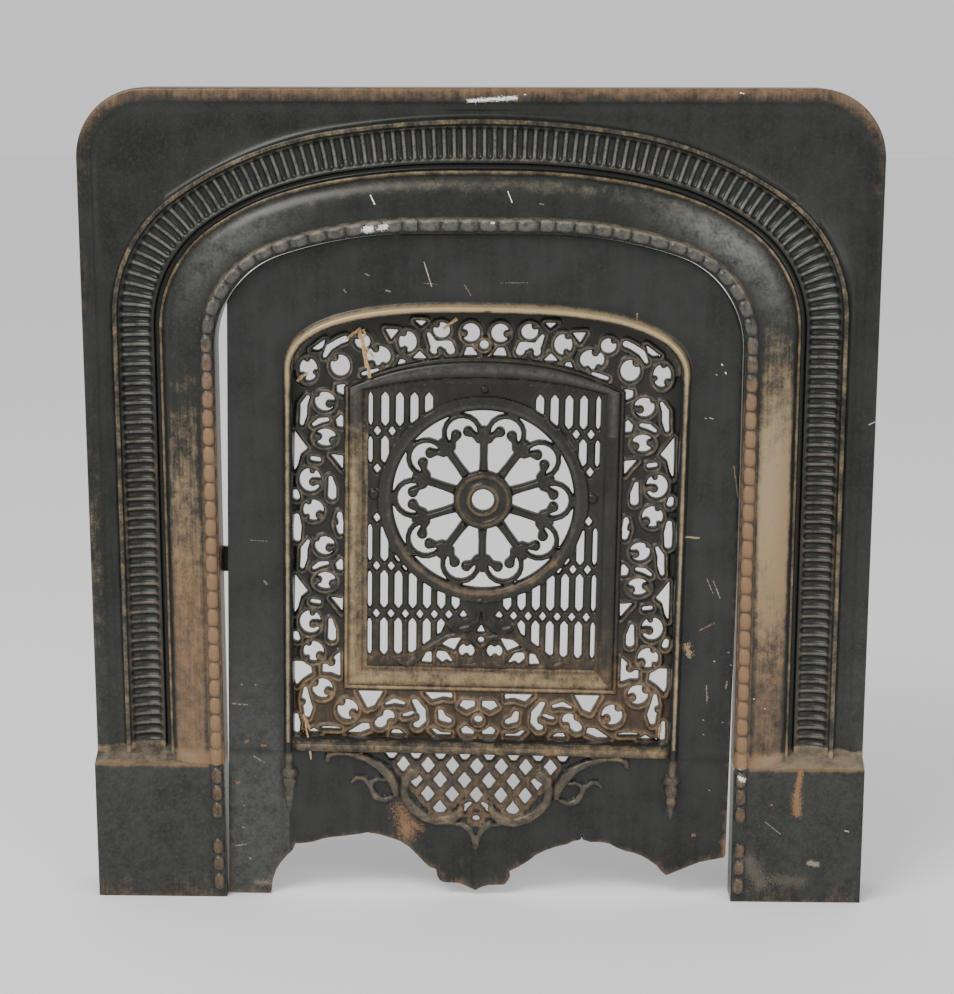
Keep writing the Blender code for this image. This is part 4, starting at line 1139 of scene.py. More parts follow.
    def foot_shapes(self) -> list:
        """Return the scrollwork at the foot of the field, laid over the lattice."""
        ground, _ = notch(0, 300, -14, 287, -34, 284, -40, 270, -54, 259.5, -68, 249, -90, 246.5, -90, 232,
                          90, 232, 90, 246.5, 68, 249, 54, 259.5, 40, 270, 34, 284, 14, 287)
        sides = [
            notch(38.4, 258, 31, 264.4, 19.4, 265, 26.4, 252.4), hole(13.8, 252.2, 7.2, 6.8),
            leaf(14, 242, 3.2, 14.2, 245.6, 3.6), leaf(13.6, 262, 2.6, 13.6, 259.8, 3.2),
            notch(42.6, 251.4, 34, 250.4, 27, 240.6, 38, 239.6, 43.4, 244.6),
            leaf(33, 236, 3, 33.6, 239, 3.2), notch(58.6, 239.6, 48.6, 239, 48.8, 250.4, 53.6, 249.4),
        ]
        middle = [notch(-4.2, 271.4, 4.2, 271.4, 0.2, 279), hole(0.2, 263.6, 2.6, 2.6)]
        mirrored = [(shape.mirrored(0), flag) for shape, flag in sides]
        return [(s.moved(self.centre, 0), flag) for s, flag in [(ground, True)] + sides + mirrored + middle]

    def wheel_shapes(self) -> list:
        """Return the wheel: an open ring crossed by spokes, petal arcs and ball pairs.

        Returns:
            Openings and the iron kept in them, in order.
        """
        cx = self.centre
        cz = self.wheel_z

        def spot(radius: float, degrees: float, half: float) -> tuple[float, float, float]:
            """Return a spot of a stroke at a radius and an angle."""
            angle = math.radians(degrees)
            return cx + radius * math.sin(angle), cz + radius * math.cos(angle), half

        shapes = [(Oval(cx, cz, self.wheel_outer, self.wheel_outer), True),
                  (Oval(cx, cz, self.wheel_open, self.wheel_open), False)]
        turn = 360 / self.spokes
        for k in range(self.spokes):
            gap = turn * k
            axis = gap + turn / 2
            shapes.append((Run((spot(26, gap, 4.9), spot(40, gap, 4.1), spot(58, gap, 4.3),
                                spot(66, gap, 4), spot(71, gap, 2.2))), True))
            petal = []
            for i in range(13):
                angle = math.radians(-125 + i * 250 / 12)
                across = 17.6 * math.sin(angle)
                out = 68.4 + 17.4 * math.cos(angle)
                turned = axis + math.degrees(math.atan2(across, out))
                petal.append(spot(math.hypot(out, across), turned, 2.7))
            shapes.append((Run(tuple(petal)), True))
            for side in (-1, 1):
                shapes.append((Run((spot(60.4, axis + side * 13.4, 4.9), spot(64.6, axis + side * 9.4, 3.2),
                                    spot(68.6, axis + side * 5.2, 5.5))), True))
        shapes.append((Oval(cx, cz, self.hub_outer, self.hub_outer), True))
        shapes.append((Oval(cx, cz, self.hub_hole, self.hub_hole), False))
        return shapes

    def prepare(self) -> None:
        """Lay out every opening once."""
        unit = self.strip_unit()
        strips = unit + [(shape.moved(0, -self.period), flag) for shape, flag in unit]
        strips += self.strip_links() + self.corner_shapes() + self.top_shapes()
        self.shapes = self.shapes + both_sides(self.lattice(), self.centre)
        self.shapes += self.foot_shapes() + self.wheel_shapes()
        self.field_count = len(self.shapes)
        self.shapes += both_sides(strips, self.centre) + both_sides(self.bottom_shapes(), -3)
        for z in (182, 557):
            self.shapes.append((Oval(-3, z, 3.8, 3.8), False))

    def rail_inset(self, x: Array, z: Array) -> Array:
        """Return how far points lie inside the picture frame's outer edge."""
        share = np.abs(x - self.centre) / self.rail_half
        outer = self.rail_crown - 31 * share ** 2.3
        inner = self.rail_crown - 25 - 17 * share ** 2.3
        low = (z - self.rail_bottom) * self.rail_width / 24
        high = (outer - z) * self.rail_width / (outer - inner)
        return np.minimum(np.minimum(self.rail_half - np.abs(x - self.centre), low), high)

    def solid(self, x: Array, z: Array) -> Array:
        """Return how far points lie inside the panel's iron."""
        if not self.shapes:
            self.prepare()
        rail = self.rail_inset(x, z)
        field = self.carve(np.full(x.shape, 8.0), x, z, self.shapes[:self.field_count])
        border = self.carve(np.full(x.shape, 8.0), x, z, self.shapes[self.field_count:])
        inner = np.maximum(field, self.rail_width + 0.6 - rail)
        outer = np.maximum(border, rail + 1.6)
        return np.minimum(np.where(rail > 8, inner, outer), self.aperture(x, z, self.seat))

    def front(self, x: Array, z: Array, inside: Array) -> Array:
        """Return the panel's front, region by region."""
        rail = self.rail_inset(x, z)
        radius = np.hypot(x - self.centre, z - self.wheel_z)
        profile = np.interp(rail, [-1.6, -0.6, 0.4, 1.6, 2.6, 3.6, 4.4, 18, 19.4, 22, 23],
                            [1.2, 2.6, 4, 4.6, 4.4, 3.4, 2.8, 1.4, 1.8, 1.4, 0])
        profile += 3.9 * np.sqrt(np.clip(1 - ((rail - 10.8) / 7) ** 2, 0, 1))
        border = 1 + 3.5 * round_over(inside / 2.9) - 2.3 * ease(3.2, 5.8, inside)
        lattice = 0.2 + 2 * round_over(inside / 3.2)
        spoke = 4.8 * round_over(inside / 4.4)
        rim = np.interp(radius, [86, 87.5, 90.4, 91.2, 92.6, 94, 95, 96, 101, 102.4],
                        [0, 2.6, 2.8, 4.6, 5.2, 4.6, 3, 2.4, 2.2, 0.2])
        hub = np.interp(radius, [10.4, 12, 15.5, 17, 18.2, 20.5, 22, 25.5, 28, 29.5],
                        [3, 4.6, 4.6, 3.2, 2.2, 2.4, 3.9, 4.1, 3.4, 1.8])
        wheel = np.where(radius < 30, hub, np.maximum(spoke, np.where(radius > 86, rim, 0)))
        edging = np.maximum(profile, border * ease(0.3, -1.4, rail))
        height = np.where(rail > self.rail_width, lattice, np.where(rail > -1.5, edging, border))
        height = np.where((radius < self.wheel_outer + 0.4) & (rail > 20), wheel, height)
        height = height + self.bosses(x, z)
        height = self.base + np.maximum(height, 0.2)
        aperture = self.aperture(x, z, 0)
        return np.where(aperture < -0.9, self.seat_front, height)

    def bosses(self, x: Array, z: Array) -> Array:
        """Return the extra height of small bosses, rosettes and raised scroll lines.

        Args:
            x: Where, across.
            z: Where, up.

        Returns:
            The extra height.
        """
        extra = np.zeros(x.shape)
        spots = [(self.centre, 514, 4, 3.2), (self.centre - 106, 409, 5.5, 3.6),
                 (self.centre + 106, 409, 5.5, 3.6), (self.centre, 300, 7, 2.4)]
        for bx, bz, r, rise in spots:
            share = ((x - bx) ** 2 + (z - bz) ** 2) / r ** 2
            extra = np.maximum(extra, rise * np.sqrt(np.clip(1 - share, 0, 1)))
        for bz in (182, 557):
            radius = np.hypot(x + 3, z - bz)
            extra = np.maximum(extra, 2.6 * hump(radius, 6.4, 3) + 1.4 * hump(radius, 11, 2.4))
        for line, rise in self.raised_lines():
            near = close_to(line, x, z)
            extra[near] = np.maximum(extra[near], rise * line.swell(x[near], z[near]))
        return extra

    def raised_lines(self) -> list[tuple[Run, float]]:
        """Return the scroll lines at the foot of the field, each with its rise."""
        drawn = [
            (2.6, 2, 296, 2, 4, 283, 2.6, 11, 276, 3.4, 21, 273, 3.8, 29, 276, 3, 33, 281, 1.6),
            (2.4, 2, 258, 2.4, 9, 265.6, 2.8, 21, 268.4, 3, 33, 266, 2.8, 44, 259, 2.8, 56, 252, 3, 63,
                 243, 3, 72, 237.4, 3, 80, 241, 2.4),
            (2.2, 22, 240, 2.4, 24, 250, 2.6, 32, 254, 2.6, 42, 254.6, 2.4, 46, 247, 2.2, 45.6, 240, 2),
            (2, 4, 238, 2.4, 14, 236.6, 2.6, 24, 237, 2.4),
        ]
        lines = [(Run(grouped(row, 3)).moved(self.centre, 0), rise) for rise, *row in drawn]
        return lines + [(line.mirrored(self.centre), rise) for line, rise in lines]

    def fill(self) -> tuple[Array, Array]:
        """Return points all over the panel."""
        x0, x1, z0, z1 = self.limits
        x, z = self.grid_fill(x0, x1, z0, z1, 1.32)
        insets = (-1.5, -0.6, 0.4, 1.6, 2.6, 3.6, 4.4, 5.6, 7.2, 9, 10.8, 12.6, 14.4, 16, 17.4, 19.4,
                  20.8, 22)
        rail = self.rail_inset(x, z)
        free = np.min([np.abs(rail - inset) for inset in insets], axis=0) > 0.55
        found = [np.stack([x[free], z[free]], -1)]
        for inset in insets:
            reach = self.rail_half - inset
            across = np.linspace(-reach, reach, 190)
            share = np.abs(across) / self.rail_half
            top = self.rail_crown - 31 * share ** 2.3
            fall = 25 - 14 * share ** 2.3
            found.append(np.stack([across + self.centre, top - inset * fall / self.rail_width], -1))
            foot = self.rail_bottom + inset * 24 / self.rail_width
            found.append(np.stack([across + self.centre, np.full(190, foot)], -1))
            up = np.linspace(foot, float(top[0] - inset * fall[0] / self.rail_width), 200)[1:-1]
            for side in (-1, 1):
                found.append(np.stack([np.full(198, self.centre + side * reach), up], -1))
        points = np.concatenate(found)
        keep = self.solid(points[:, 0], points[:, 1]) > 0.4
        return points[keep, 0], points[keep, 1]

    def wear(self, x: Array, z: Array, inside: Array, height: Array) -> dict[str, Array]:
        """Return the panel's wear: bronze crests, browner and rustier towards the foot, with painted shade
        in the valleys, the rail grooves and under the cover's aperture edge, and painted sheen on the wheel
        ring, scroll ridges and top rail.
        """
        rail = self.rail_inset(x, z)
        radius = np.hypot(x - self.centre, z - self.wheel_z)
        low = ease(330, 190, z)
        outside = rail < 0
        edge = np.where(outside, hump(inside, 2.5, 2.5), hump(inside, 1.5, 1.8))
        crest = edge * (np.where(outside, 0.46, 0.24) + 0.14 * low)
        wheel = (radius < self.wheel_outer) & (rail > 20)
        crest += 0.3 * ease(1.6, 3.4, inside) * wheel * (radius < self.wheel_open)
        crest += (0.28 + 0.24 * ease(400, 330, z)) * hump(radius, 93.4, 4.6) * (rail > 20)
        crest += 0.4 * hump(rail, 2.4, 2.2) + 0.28 * hump(radius, 14, 2.6) + 0.2 * hump(radius, 24.5, 3)
        frame_rail = (rail > 0) & (rail < 22)
        beside = np.abs(self.rail_half - np.abs(x - self.centre) - rail) < 0.01
        foot = frame_rail & ~beside & (z < 300)
        left = frame_rail & beside & (x < 0)
        right = frame_rail & beside & (x > 0)
        round_part = hump(rail, 8.6, 6.4)
        crest += frame_rail * (0.04 + (0.06 + 0.56 * left * ease(530, 430, z)) * round_part)
        crest += frame_rail * (0.22 * left - 0.3 * right) * hump(rail, 1.8, 1.8)
        crest += 0.56 * foot * hump(rail, 10.5, 9.5) + 0.3 * foot * hump(rail, 1.8, 1.8)
        crest += 0.25 * (self.bosses(x, z) > 0.8)
        # Painted shade: the scroll valleys, the rail grooves and the strip under the cover's aperture edge
        # are darkened where shadow falls.
        hollow = np.where(outside, ease(3.8, 5.6, inside), ease(4, 6, inside) * (rail > 22) * ~wheel) * 0.7
        hollow = np.maximum(hollow, ease(0.5, -1, self.aperture(x, z, 0)))
        hollow += 0.5 * hump(rail, -0.9, 0.9) + 0.6 * hump(rail, 4.2, 1.6) + 0.5 * hump(rail, 18.6, 2.4)
        rust = 0.2 + 0.32 * low + 0.2 * hump(radius, 92.0, 8.0) * ease(420.0, 330.0, z) + 0.1 * left
        dust = 0.1 + 0.06 * low + 0.12 * (rail > 22) * ease(320, 240, z) + 0.14 * edge * outside
        gilded = 0.1 + 0.5 * foot + 0.5 * left * ease(540, 430, z)
        gold = np.where(frame_rail, gilded, 0.12 + 0.3 * edge * outside)
        # Painted sheen: a lighter film along the wheel ring, the scroll ridges and the rounded top rail,
        # where light catches them.
        painted_sheen_and_dust = 0.16 * hump(radius, 92.6, 3) + 0.16 * edge * outside
        painted_sheen_and_dust += (frame_rail & (z > 470)) * 0.3 * hump(rail, 10, 6)
        return {"crest": crest, "hollow": hollow, "rust": rust, "dust": dust, "gold": gold, "painted_sheen_and_dust": painted_sheen_and_dust}

    def build(self) -> Piece:
        """Build the panel and return it."""
        points, faces, wear = self.arrays()
        return make_piece("pierced_grille", points, faces, wear, self.material, ("grille_panel",))


@dataclass
class CoverPlate(ReliefPlate):
    """The loose arched cover: plate, arch moulding, bar, pendants, scrolls and basket."""

    limits: tuple[float, float, float, float] = (-252.6, 247.6, -2, 676)
    contour_step: float = 1.6
    back: float = 48
    face: float = 54
    opening: Arch = Arch(252.2, 555.4, (93.1, 71.6), (407.3, 18.1))
    gap: float = 1
    right_gap: float = 5.8
    left_taper: float = 0.0045
    jamb_foot: float = 156
    aperture_half: float = 186
    spring: float = 530
    crown: float = 588.5
    sill: float = 163.5
    bar_bottom: float = 149.5
    bar_proud: float = 10
    crest_at: float = 4.5
    mould_width: float = 10.5
    mould_proud: float = 8
    mould_foot: float = 127
    pendant_x: float = 190
    basket_centre: float = -3.5
    basket_pitch: float = 24.3
    basket_row: float = 15
    basket_top: float = 136
    thick_scroll: float = 5.2
    foot_right: float = -209
    lug_span: tuple[float, float] = (325, 350)

    def left(self, z: Array) -> Array:
        """Return the plate's left edge at a height; it draws in a little upwards."""
        return self.gap - self.opening.half + self.left_taper * z

    def right(self) -> float:
        """Return the plate's right edge, below the place where it follows the jamb."""
        return self.opening.half - self.right_gap

    def shoulders(self) -> list[tuple[float, float]]:
        """Return the sides and arch of the outline, which keep just inside the opening."""
        shoulder = (self.opening.shoulder[0] - self.gap, self.opening.shoulder[1])
        haunch = (self.opening.haunch[0] - self.gap, self.opening.haunch[1])
        arch = Arch(self.opening.half - self.gap, self.opening.spring, shoulder, haunch)
        x, z = arch.at(np.linspace(0, math.pi / 2, 120))
        x = np.concatenate([[self.gap - self.opening.half], x])
        z = np.concatenate([[self.jamb_foot], z])
        x = np.concatenate([x, -x[-2::-1]])
        z = np.concatenate([z, z[-2::-1]])
        tx = x * math.cos(LEAN) - z * math.sin(LEAN)
        tz = x * math.sin(LEAN) + z * math.cos(LEAN)
        room = np.minimum(tx - self.left(tz), self.right() - tx)
        loop = []
        for i in range(len(tx) - 1):
            if (room[i] > 0) != (room[i + 1] > 0):
                t = room[i] / (room[i] - room[i + 1])
                loop.append(tuple(float(line[i] + (line[i + 1] - line[i]) * t) for line in (tx, tz)))
            if room[i + 1] > 0:
                loop.append((float(tx[i + 1]), float(tz[i + 1])))
        return loop

    def arch_line(self, grow: float, count: int) -> tuple[Array, Array]:
        """Return points over the aperture's arch, grown outwards, from left to right."""
        turn = np.linspace(math.pi, 0, count)
        x = (self.aperture_half + grow) * np.sign(np.cos(turn)) * np.abs(np.cos(turn)) ** 0.72
        rise = self.crown + grow - self.spring
        return x, self.spring + rise * np.abs(np.sin(turn)) ** 0.84

    def from_aperture(self, x: Array, z: Array) -> Array:
        """Return the distance outside the aperture's sides and arch, negative inside.

        Args:
            x: Where, across.
            z: Where, up.

        Returns:
            The distance.
        """
        ax, az = self.arch_line(0, 90)
        spots = tuple((float(a), float(b), 0.001) for a, b in zip(ax, az))
        best = Run(spots).distance(x, z)
        straight = z < self.spring
        best = np.where(straight, np.abs(np.abs(x) - self.aperture_half), best)
        up = np.clip((z - self.spring) / (self.crown - self.spring), 0, None)
        inside = (np.abs(x) / self.aperture_half) ** (2 / 0.72) + up ** (2 / 0.84) < 1
        return np.where(inside, -best, best)

    def outline(self) -> Facet:
        """Return the plate's outer edge: arched above, scalloped and broken below."""
        left = float(self.left(0))
        right = self.right()
        slope = math.tan(LEAN)
        rough = [(left, left * slope), (self.foot_right, self.foot_right * slope), (-207.4, 12), (-204, 22),
                 (-199, 31), (-192, 39), (-187, 44), (-184.4, 51), (-178, 51.4), (-166, 53.4),
                 (-157, 56.6), (-148, 58.6), (-134, 60.4), (-120, 62.6), (-112, 64.4), (-101, 62.8),
                 (-92, 60.4), (-80, 56.4), (-70, 50), (-61, 41), (-54, 33.4), (-49, 29),
                 (-43, 27.4), (-41.6, 20), (-38.6, 15), (-34, 13.2), (-20, 13), (-11, 9.4), (-3, 5.6),
                 (3, 9.2), (10, 11.4), (26, 12.2), (30, 17), (31.6, 22), (30.4, 26.6), (38, 30.4),
                 (48, 37), (58, 45), (66, 49.4), (77, 53.8), (88, 56.6), (95, 60.4), (101, 61.4),
                 (102, 66.6), (103.4, 61.8), (112, 59.4), (121, 59.8), (130, 58.4), (138, 54),
                 (146, 51), (154, 49.4), (162, 46.6), (170, 42), (178, 36.4), (184, 29),
                 (188, 26), (200, 31.6), (210, 36.2), (221, 41), (232, 43.6), (right - 1, 46.4),
                 (right, 49)]
        return Facet(tuple(rough) + tuple(reversed(self.shoulders())), 0.01)

    def basket(self) -> list:
        """Return the basket's diamonds and the half diamonds under the bar."""
        half, tall = 6.6, 8.6
        found = []
        rows = ((7, 0), (6, 1), (5, 2), (2, 3))
        for count, row in rows:
            z = self.basket_top - row * self.basket_row
            for i in range(count):
                x = self.basket_centre + (i - (count - 1) / 2) * self.basket_pitch * (1 if row < 3 else 3)
                found.append((Facet(((x + half, z), (x, z + tall), (x - half, z), (x, z - tall))), False))
        top = self.bar_bottom + 0.4
        for i in range(8):
            x = self.basket_centre + (i - 3.5) * self.basket_pitch
            found.append((Facet(((x - half, top), (x - half * 0.3, top - 7.2), (x + half * 0.3, top - 7.2),
                                 (x + half, top))), False))
        for side in (-1, 1):
            x = self.basket_centre + side * 10.4
            found.append((Run(((x - side * 4, 97, 1.4), (x, 94, 2), (x + side * 1.6, 90, 1.4))), False))
        found.append((Oval(self.basket_centre, 81.6, 3, 2.6), False))
        return found

    def apron_lines(self) -> list[tuple[Run, float]]:
        """Return the apron's raised scrolls, each with its rise."""
        drawn = [
            (4.2, 148.4, 141, 2.6, 147.4, 146, 2.6, 138, 149, 2.4, 124, 147.6, 2.8, 110, 143.4, 3.4, 97,
                 136, 4, 88, 127, 4.4, 81.6, 116, 4, 79.8, 107, 2.8),
            (3.4, 124, 119, 1.6, 119, 123.6, 2, 113, 122.6, 2.2, 107, 117.6, 2.4, 103.6, 110, 2.6, 100.6,
                 103.6, 3, 92, 100.4, 2.6, 84, 103.6, 2),
            (3, 92, 121, 1.6, 98, 122.2, 2, 103.6, 119.4, 2.2, 105, 113, 2),
            (4.4, 64, 128.6, 5.6, 70, 123, 4.4, 72.6, 113, 3.4, 70, 102, 3.8, 62, 91.6, 4.2, 51, 83.6,
                 4.4, 38, 80, 4.4, 26, 81.6, 4.6, 18.6, 87, 4.4, 15, 93, 2.8),
            (2.6, 24, 77, 1.2, 14, 76.4, 2.4, 6, 71.6, 3, 2, 62, 2.4, 1, 50, 1),
        ]
        c = self.basket_centre
        lines = [(Run(tuple((x, z, 1.3 * half) for x, z, half in grouped(row, 3))).moved(c, 0), 1.35 * rise)
                 for rise, *row in drawn]
        return lines + [(line.mirrored(c), rise) for line, rise in lines]

    def solid(self, x: Array, z: Array) -> Array:
        """Return how far points lie inside the cover's iron."""
        if not hasattr(self, "edge"):
            self.edge = self.outline()
            self.openings = self.basket()
            self.scrolls = self.apron_lines()
        plate = np.minimum(8, -self.edge.distance(x, z))
        around = np.maximum(self.from_aperture(x, z), self.sill - z)
        plate = np.minimum(plate, around)
        apron = z < self.sill + 6
        found = plate.copy()
        found[apron] = self.carve(plate[apron], x[apron], z[apron], self.openings)
        basket_edges = [line for line, _ in self.scrolls if line.spots[0][2] > self.thick_scroll]
        for line in basket_edges:
            near = close_to(line, x, z, 4)
            found[near] = np.maximum(found[near], -line.distance(x[near], z[near]))
        return found

    def front(self, x: Array, z: Array, inside: Array) -> Array:
        """Return the cover's front."""
        away = self.from_aperture(x, z)
        rising = 1.5 + (self.mould_proud - 1.5) * round_over(away / self.crest_at)
        falling = self.mould_proud * (1 - ease(self.crest_at + 0.6, self.mould_width, away))
        mould = np.where(away < self.crest_at, rising, falling)
        mould = np.where((away > -1) & (z > self.mould_foot), mould, 0)
        mould *= ease(self.mould_foot - 1, self.mould_foot + 6, z) * 0.35 + 0.65
        share = np.abs(z - (self.bar_bottom + self.sill) / 2) / ((self.sill - self.bar_bottom) / 2)
        bar = self.bar_proud * np.sqrt(np.clip(1 - share ** 2.4, 0, 1)) - 1 * hump(share, 0.35, 0.18)
        bar *= np.sqrt(np.clip(1 - np.clip((np.abs(x) - 177) / 9.5, 0, 1) ** 2, 0, 1))
        bar = np.where((np.abs(x) < self.aperture_half + 1) & (share < 1), bar, 0)
        height = np.maximum(mould, bar)
        for side in (-1, 1):
            height = np.maximum(height, self.pendant(x - side * self.pendant_x, z))
        for line, rise in self.scrolls:
            near = close_to(line, x, z)
            height[near] = np.maximum(height[near], rise * line.swell(x[near], z[near]))
        mesh = (z < self.bar_bottom) & (z > 78.0) & (np.abs(x - self.basket_centre) < 92.0) & (inside < 4.5)
        lattice = 1.4 * round_over(inside / 3.6) - 0.6
        height = np.where(mesh & (height < 0.4), lattice, height)
        return self.face + height

    @staticmethod
    def pendant(x: Array, z: Array) -> Array:
        """Return the height of a turned drop that hangs below the moulding's foot."""
        half = np.interp(z, [84, 88, 93, 97, 101, 104.5, 106.5, 109, 113, 118, 122, 124, 127, 131],
                         [0.4, 2, 3.4, 3.6, 5.2, 6, 5.6, 4.4, 6.6, 7.2, 6, 8.6, 9.4, 7])
        section = np.sqrt(np.clip(1 - (x / half) ** 2, 0, 1))
        return np.where((z > 84) & (z < 131), section * half * 0.85, 0)

    def fill(self) -> tuple[Array, Array]:
        """Return rows along the moulding, a fine apron, and sparse points on the plate."""
        rows = []
        for grow in (0.8, 1.7, 2.7, 3.7, 4.7, 5.6, 6.6, 7.6, 8.8, 10.2, 12):
            ax, az = self.arch_line(grow, 420)
            rows.append(np.stack([ax, az], -1))
            jamb = np.arange(172, self.spring - 1, 3)
            for side in (-1, 1):
                rows.append(np.stack([np.full(len(jamb), side * (self.aperture_half + grow)), jamb], -1))
        mould = np.concatenate(rows)
        apron = np.stack(self.grid_fill(-204, 204, 44, 171, 1.35), -1)
        plain = np.stack(self.grid_fill(-250, 246, 0, 674, 9), -1)
        away = self.from_aperture(plain[:, 0], plain[:, 1])
        fine = (np.abs(plain[:, 0]) < 206) & (plain[:, 1] > 42) & (plain[:, 1] < 173)
        plain = plain[(away > 16) & ~fine | ((plain[:, 1] < 42))]
        found = np.concatenate([mould, apron, plain])
        keep = self.solid(found[:, 0], found[:, 1]) > 0.45
        return found[keep, 0], found[keep, 1]

    def wear(self, x: Array, z: Array, inside: Array, height: Array) -> dict[str, Array]:
        """Return the cover's wear: gold on the moulding, bronze on bar and scrolls, painted shade beside
        the moulding and under the bar, and painted sheen on the moulding and scrolls.
        """
        away = self.from_aperture(x, z)
        raised = height - self.face
        crown = ease(470, 590, z)
        ring = hump(away, self.crest_at + 0.8 * crown, 4.2 + 4 * crown) * (z > self.sill - 4)
        crest = ring * (0.74 + 0.14 * crown - 0.06 * (x > 0) * (1 - crown))
        scroll = (z < self.bar_bottom) & (raised > 0.8)
        crest += scroll * 0.46 * ease(0.8, 3.4, raised)
        bar = (z > self.bar_bottom - 1) & (z < self.sill + 1) & (away < 0.5) & (raised > 1)
        crest += bar * (0.3 + 0.2 * hump(z, 157, 5) + 0.14 * ease(-60, 120, x))
        crest += 0.3 * hump(inside, 0.6, 1.6) * ((z < 148.0) | (z > 600.0))
        # Painted shade: darkened along the moulding's outer foot and just under the bar, where shadow
        # falls.
        hollow = 0.45 * hump(away, self.mould_width + 0.5, 5)
        hollow += (z < self.bar_bottom) * hump(z, self.bar_bottom, 3)
        low_edge = (z < 72) * hump(inside, 0, 7)
        patch = np.exp(-(((x + 72) / 11) ** 2 + ((z - 72) / 14) ** 2))
        basket = (z < self.bar_bottom) & (z > 74) & (np.abs(x - self.basket_centre) < 84) & (inside < 5)
        rust = 0.26 * low_edge + 0.5 * patch + basket * 0.42 + bar * 0.36 + 0.3 * ring
        rust += 0.22 * ease(150, 30, z) + 0.4 * hump(x, self.right(), 3) * (z < 400)
        dust = basket * 0.26 + 0.1 * ring
        gold = ring * (0.66 + 0.4 * crown) + bar * 0.42 + scroll * 0.36
        # Painted sheen on the moulding ring and scrolls, and a pale film towards the plate's lower left.
        painted_sheen_and_dust = 0.28 * ease(330, 90, z) * (raised < 0.5) * (x < -190) + 0.2 * ring + scroll * 0.2
        return {"crest": crest, "hollow": hollow, "rust": rust, "dust": dust, "gold": gold, "painted_sheen_and_dust": painted_sheen_and_dust}

    def lug(self, first: int) -> tuple[Array, list]:
        """Return the hooked lug behind the left edge as points and faces.

        Args:
            first: Index of its first point.

        Returns:
            World points and faces.
        """
        low, high = self.lug_span
        left = float(self.left(high))
        tongue = 28.5
        outline = [(left + 4, self.back + 0.5), (left + 14, self.back + 0.5), (left + 14, tongue - 5),
                   (left - 10, tongue - 5), (left - 10, tongue), (left + 4, tongue)]
        count = len(outline)
        x = np.array([a for a, _ in outline] * 2)
        front = np.array([b for _, b in outline] * 2)
        z = np.repeat([low, high], count)
        faces = [[first + i for i in range(count)], [first + count + i for i in range(count)][::-1]]
        for i in range(count):
            j = (i + 1) % count
            faces.append([first + i, first + count + i, first + count + j, first + j])
        return leaning_points(x, front, z), faces

    def build(self) -> Piece:
        """Build the cover and return it."""
        points, faces, wear = self.arrays()
        lug_points, lug_faces = self.lug(0)
        shifted = [[i + len(points) for i in face] for face in outward(lug_points, lug_faces)]
        wear = {label: np.concatenate([v, np.zeros(len(lug_points))]) for label, v in wear.items()}
        return make_piece("summer_cover", np.concatenate([points, lug_points]), faces + shifted, wear,
                          self.material, ("cover_plate",))


class Lay(Enum):
    """How a piece of twine ends."""

    TIED = "tied"
    FRAYED = "frayed"


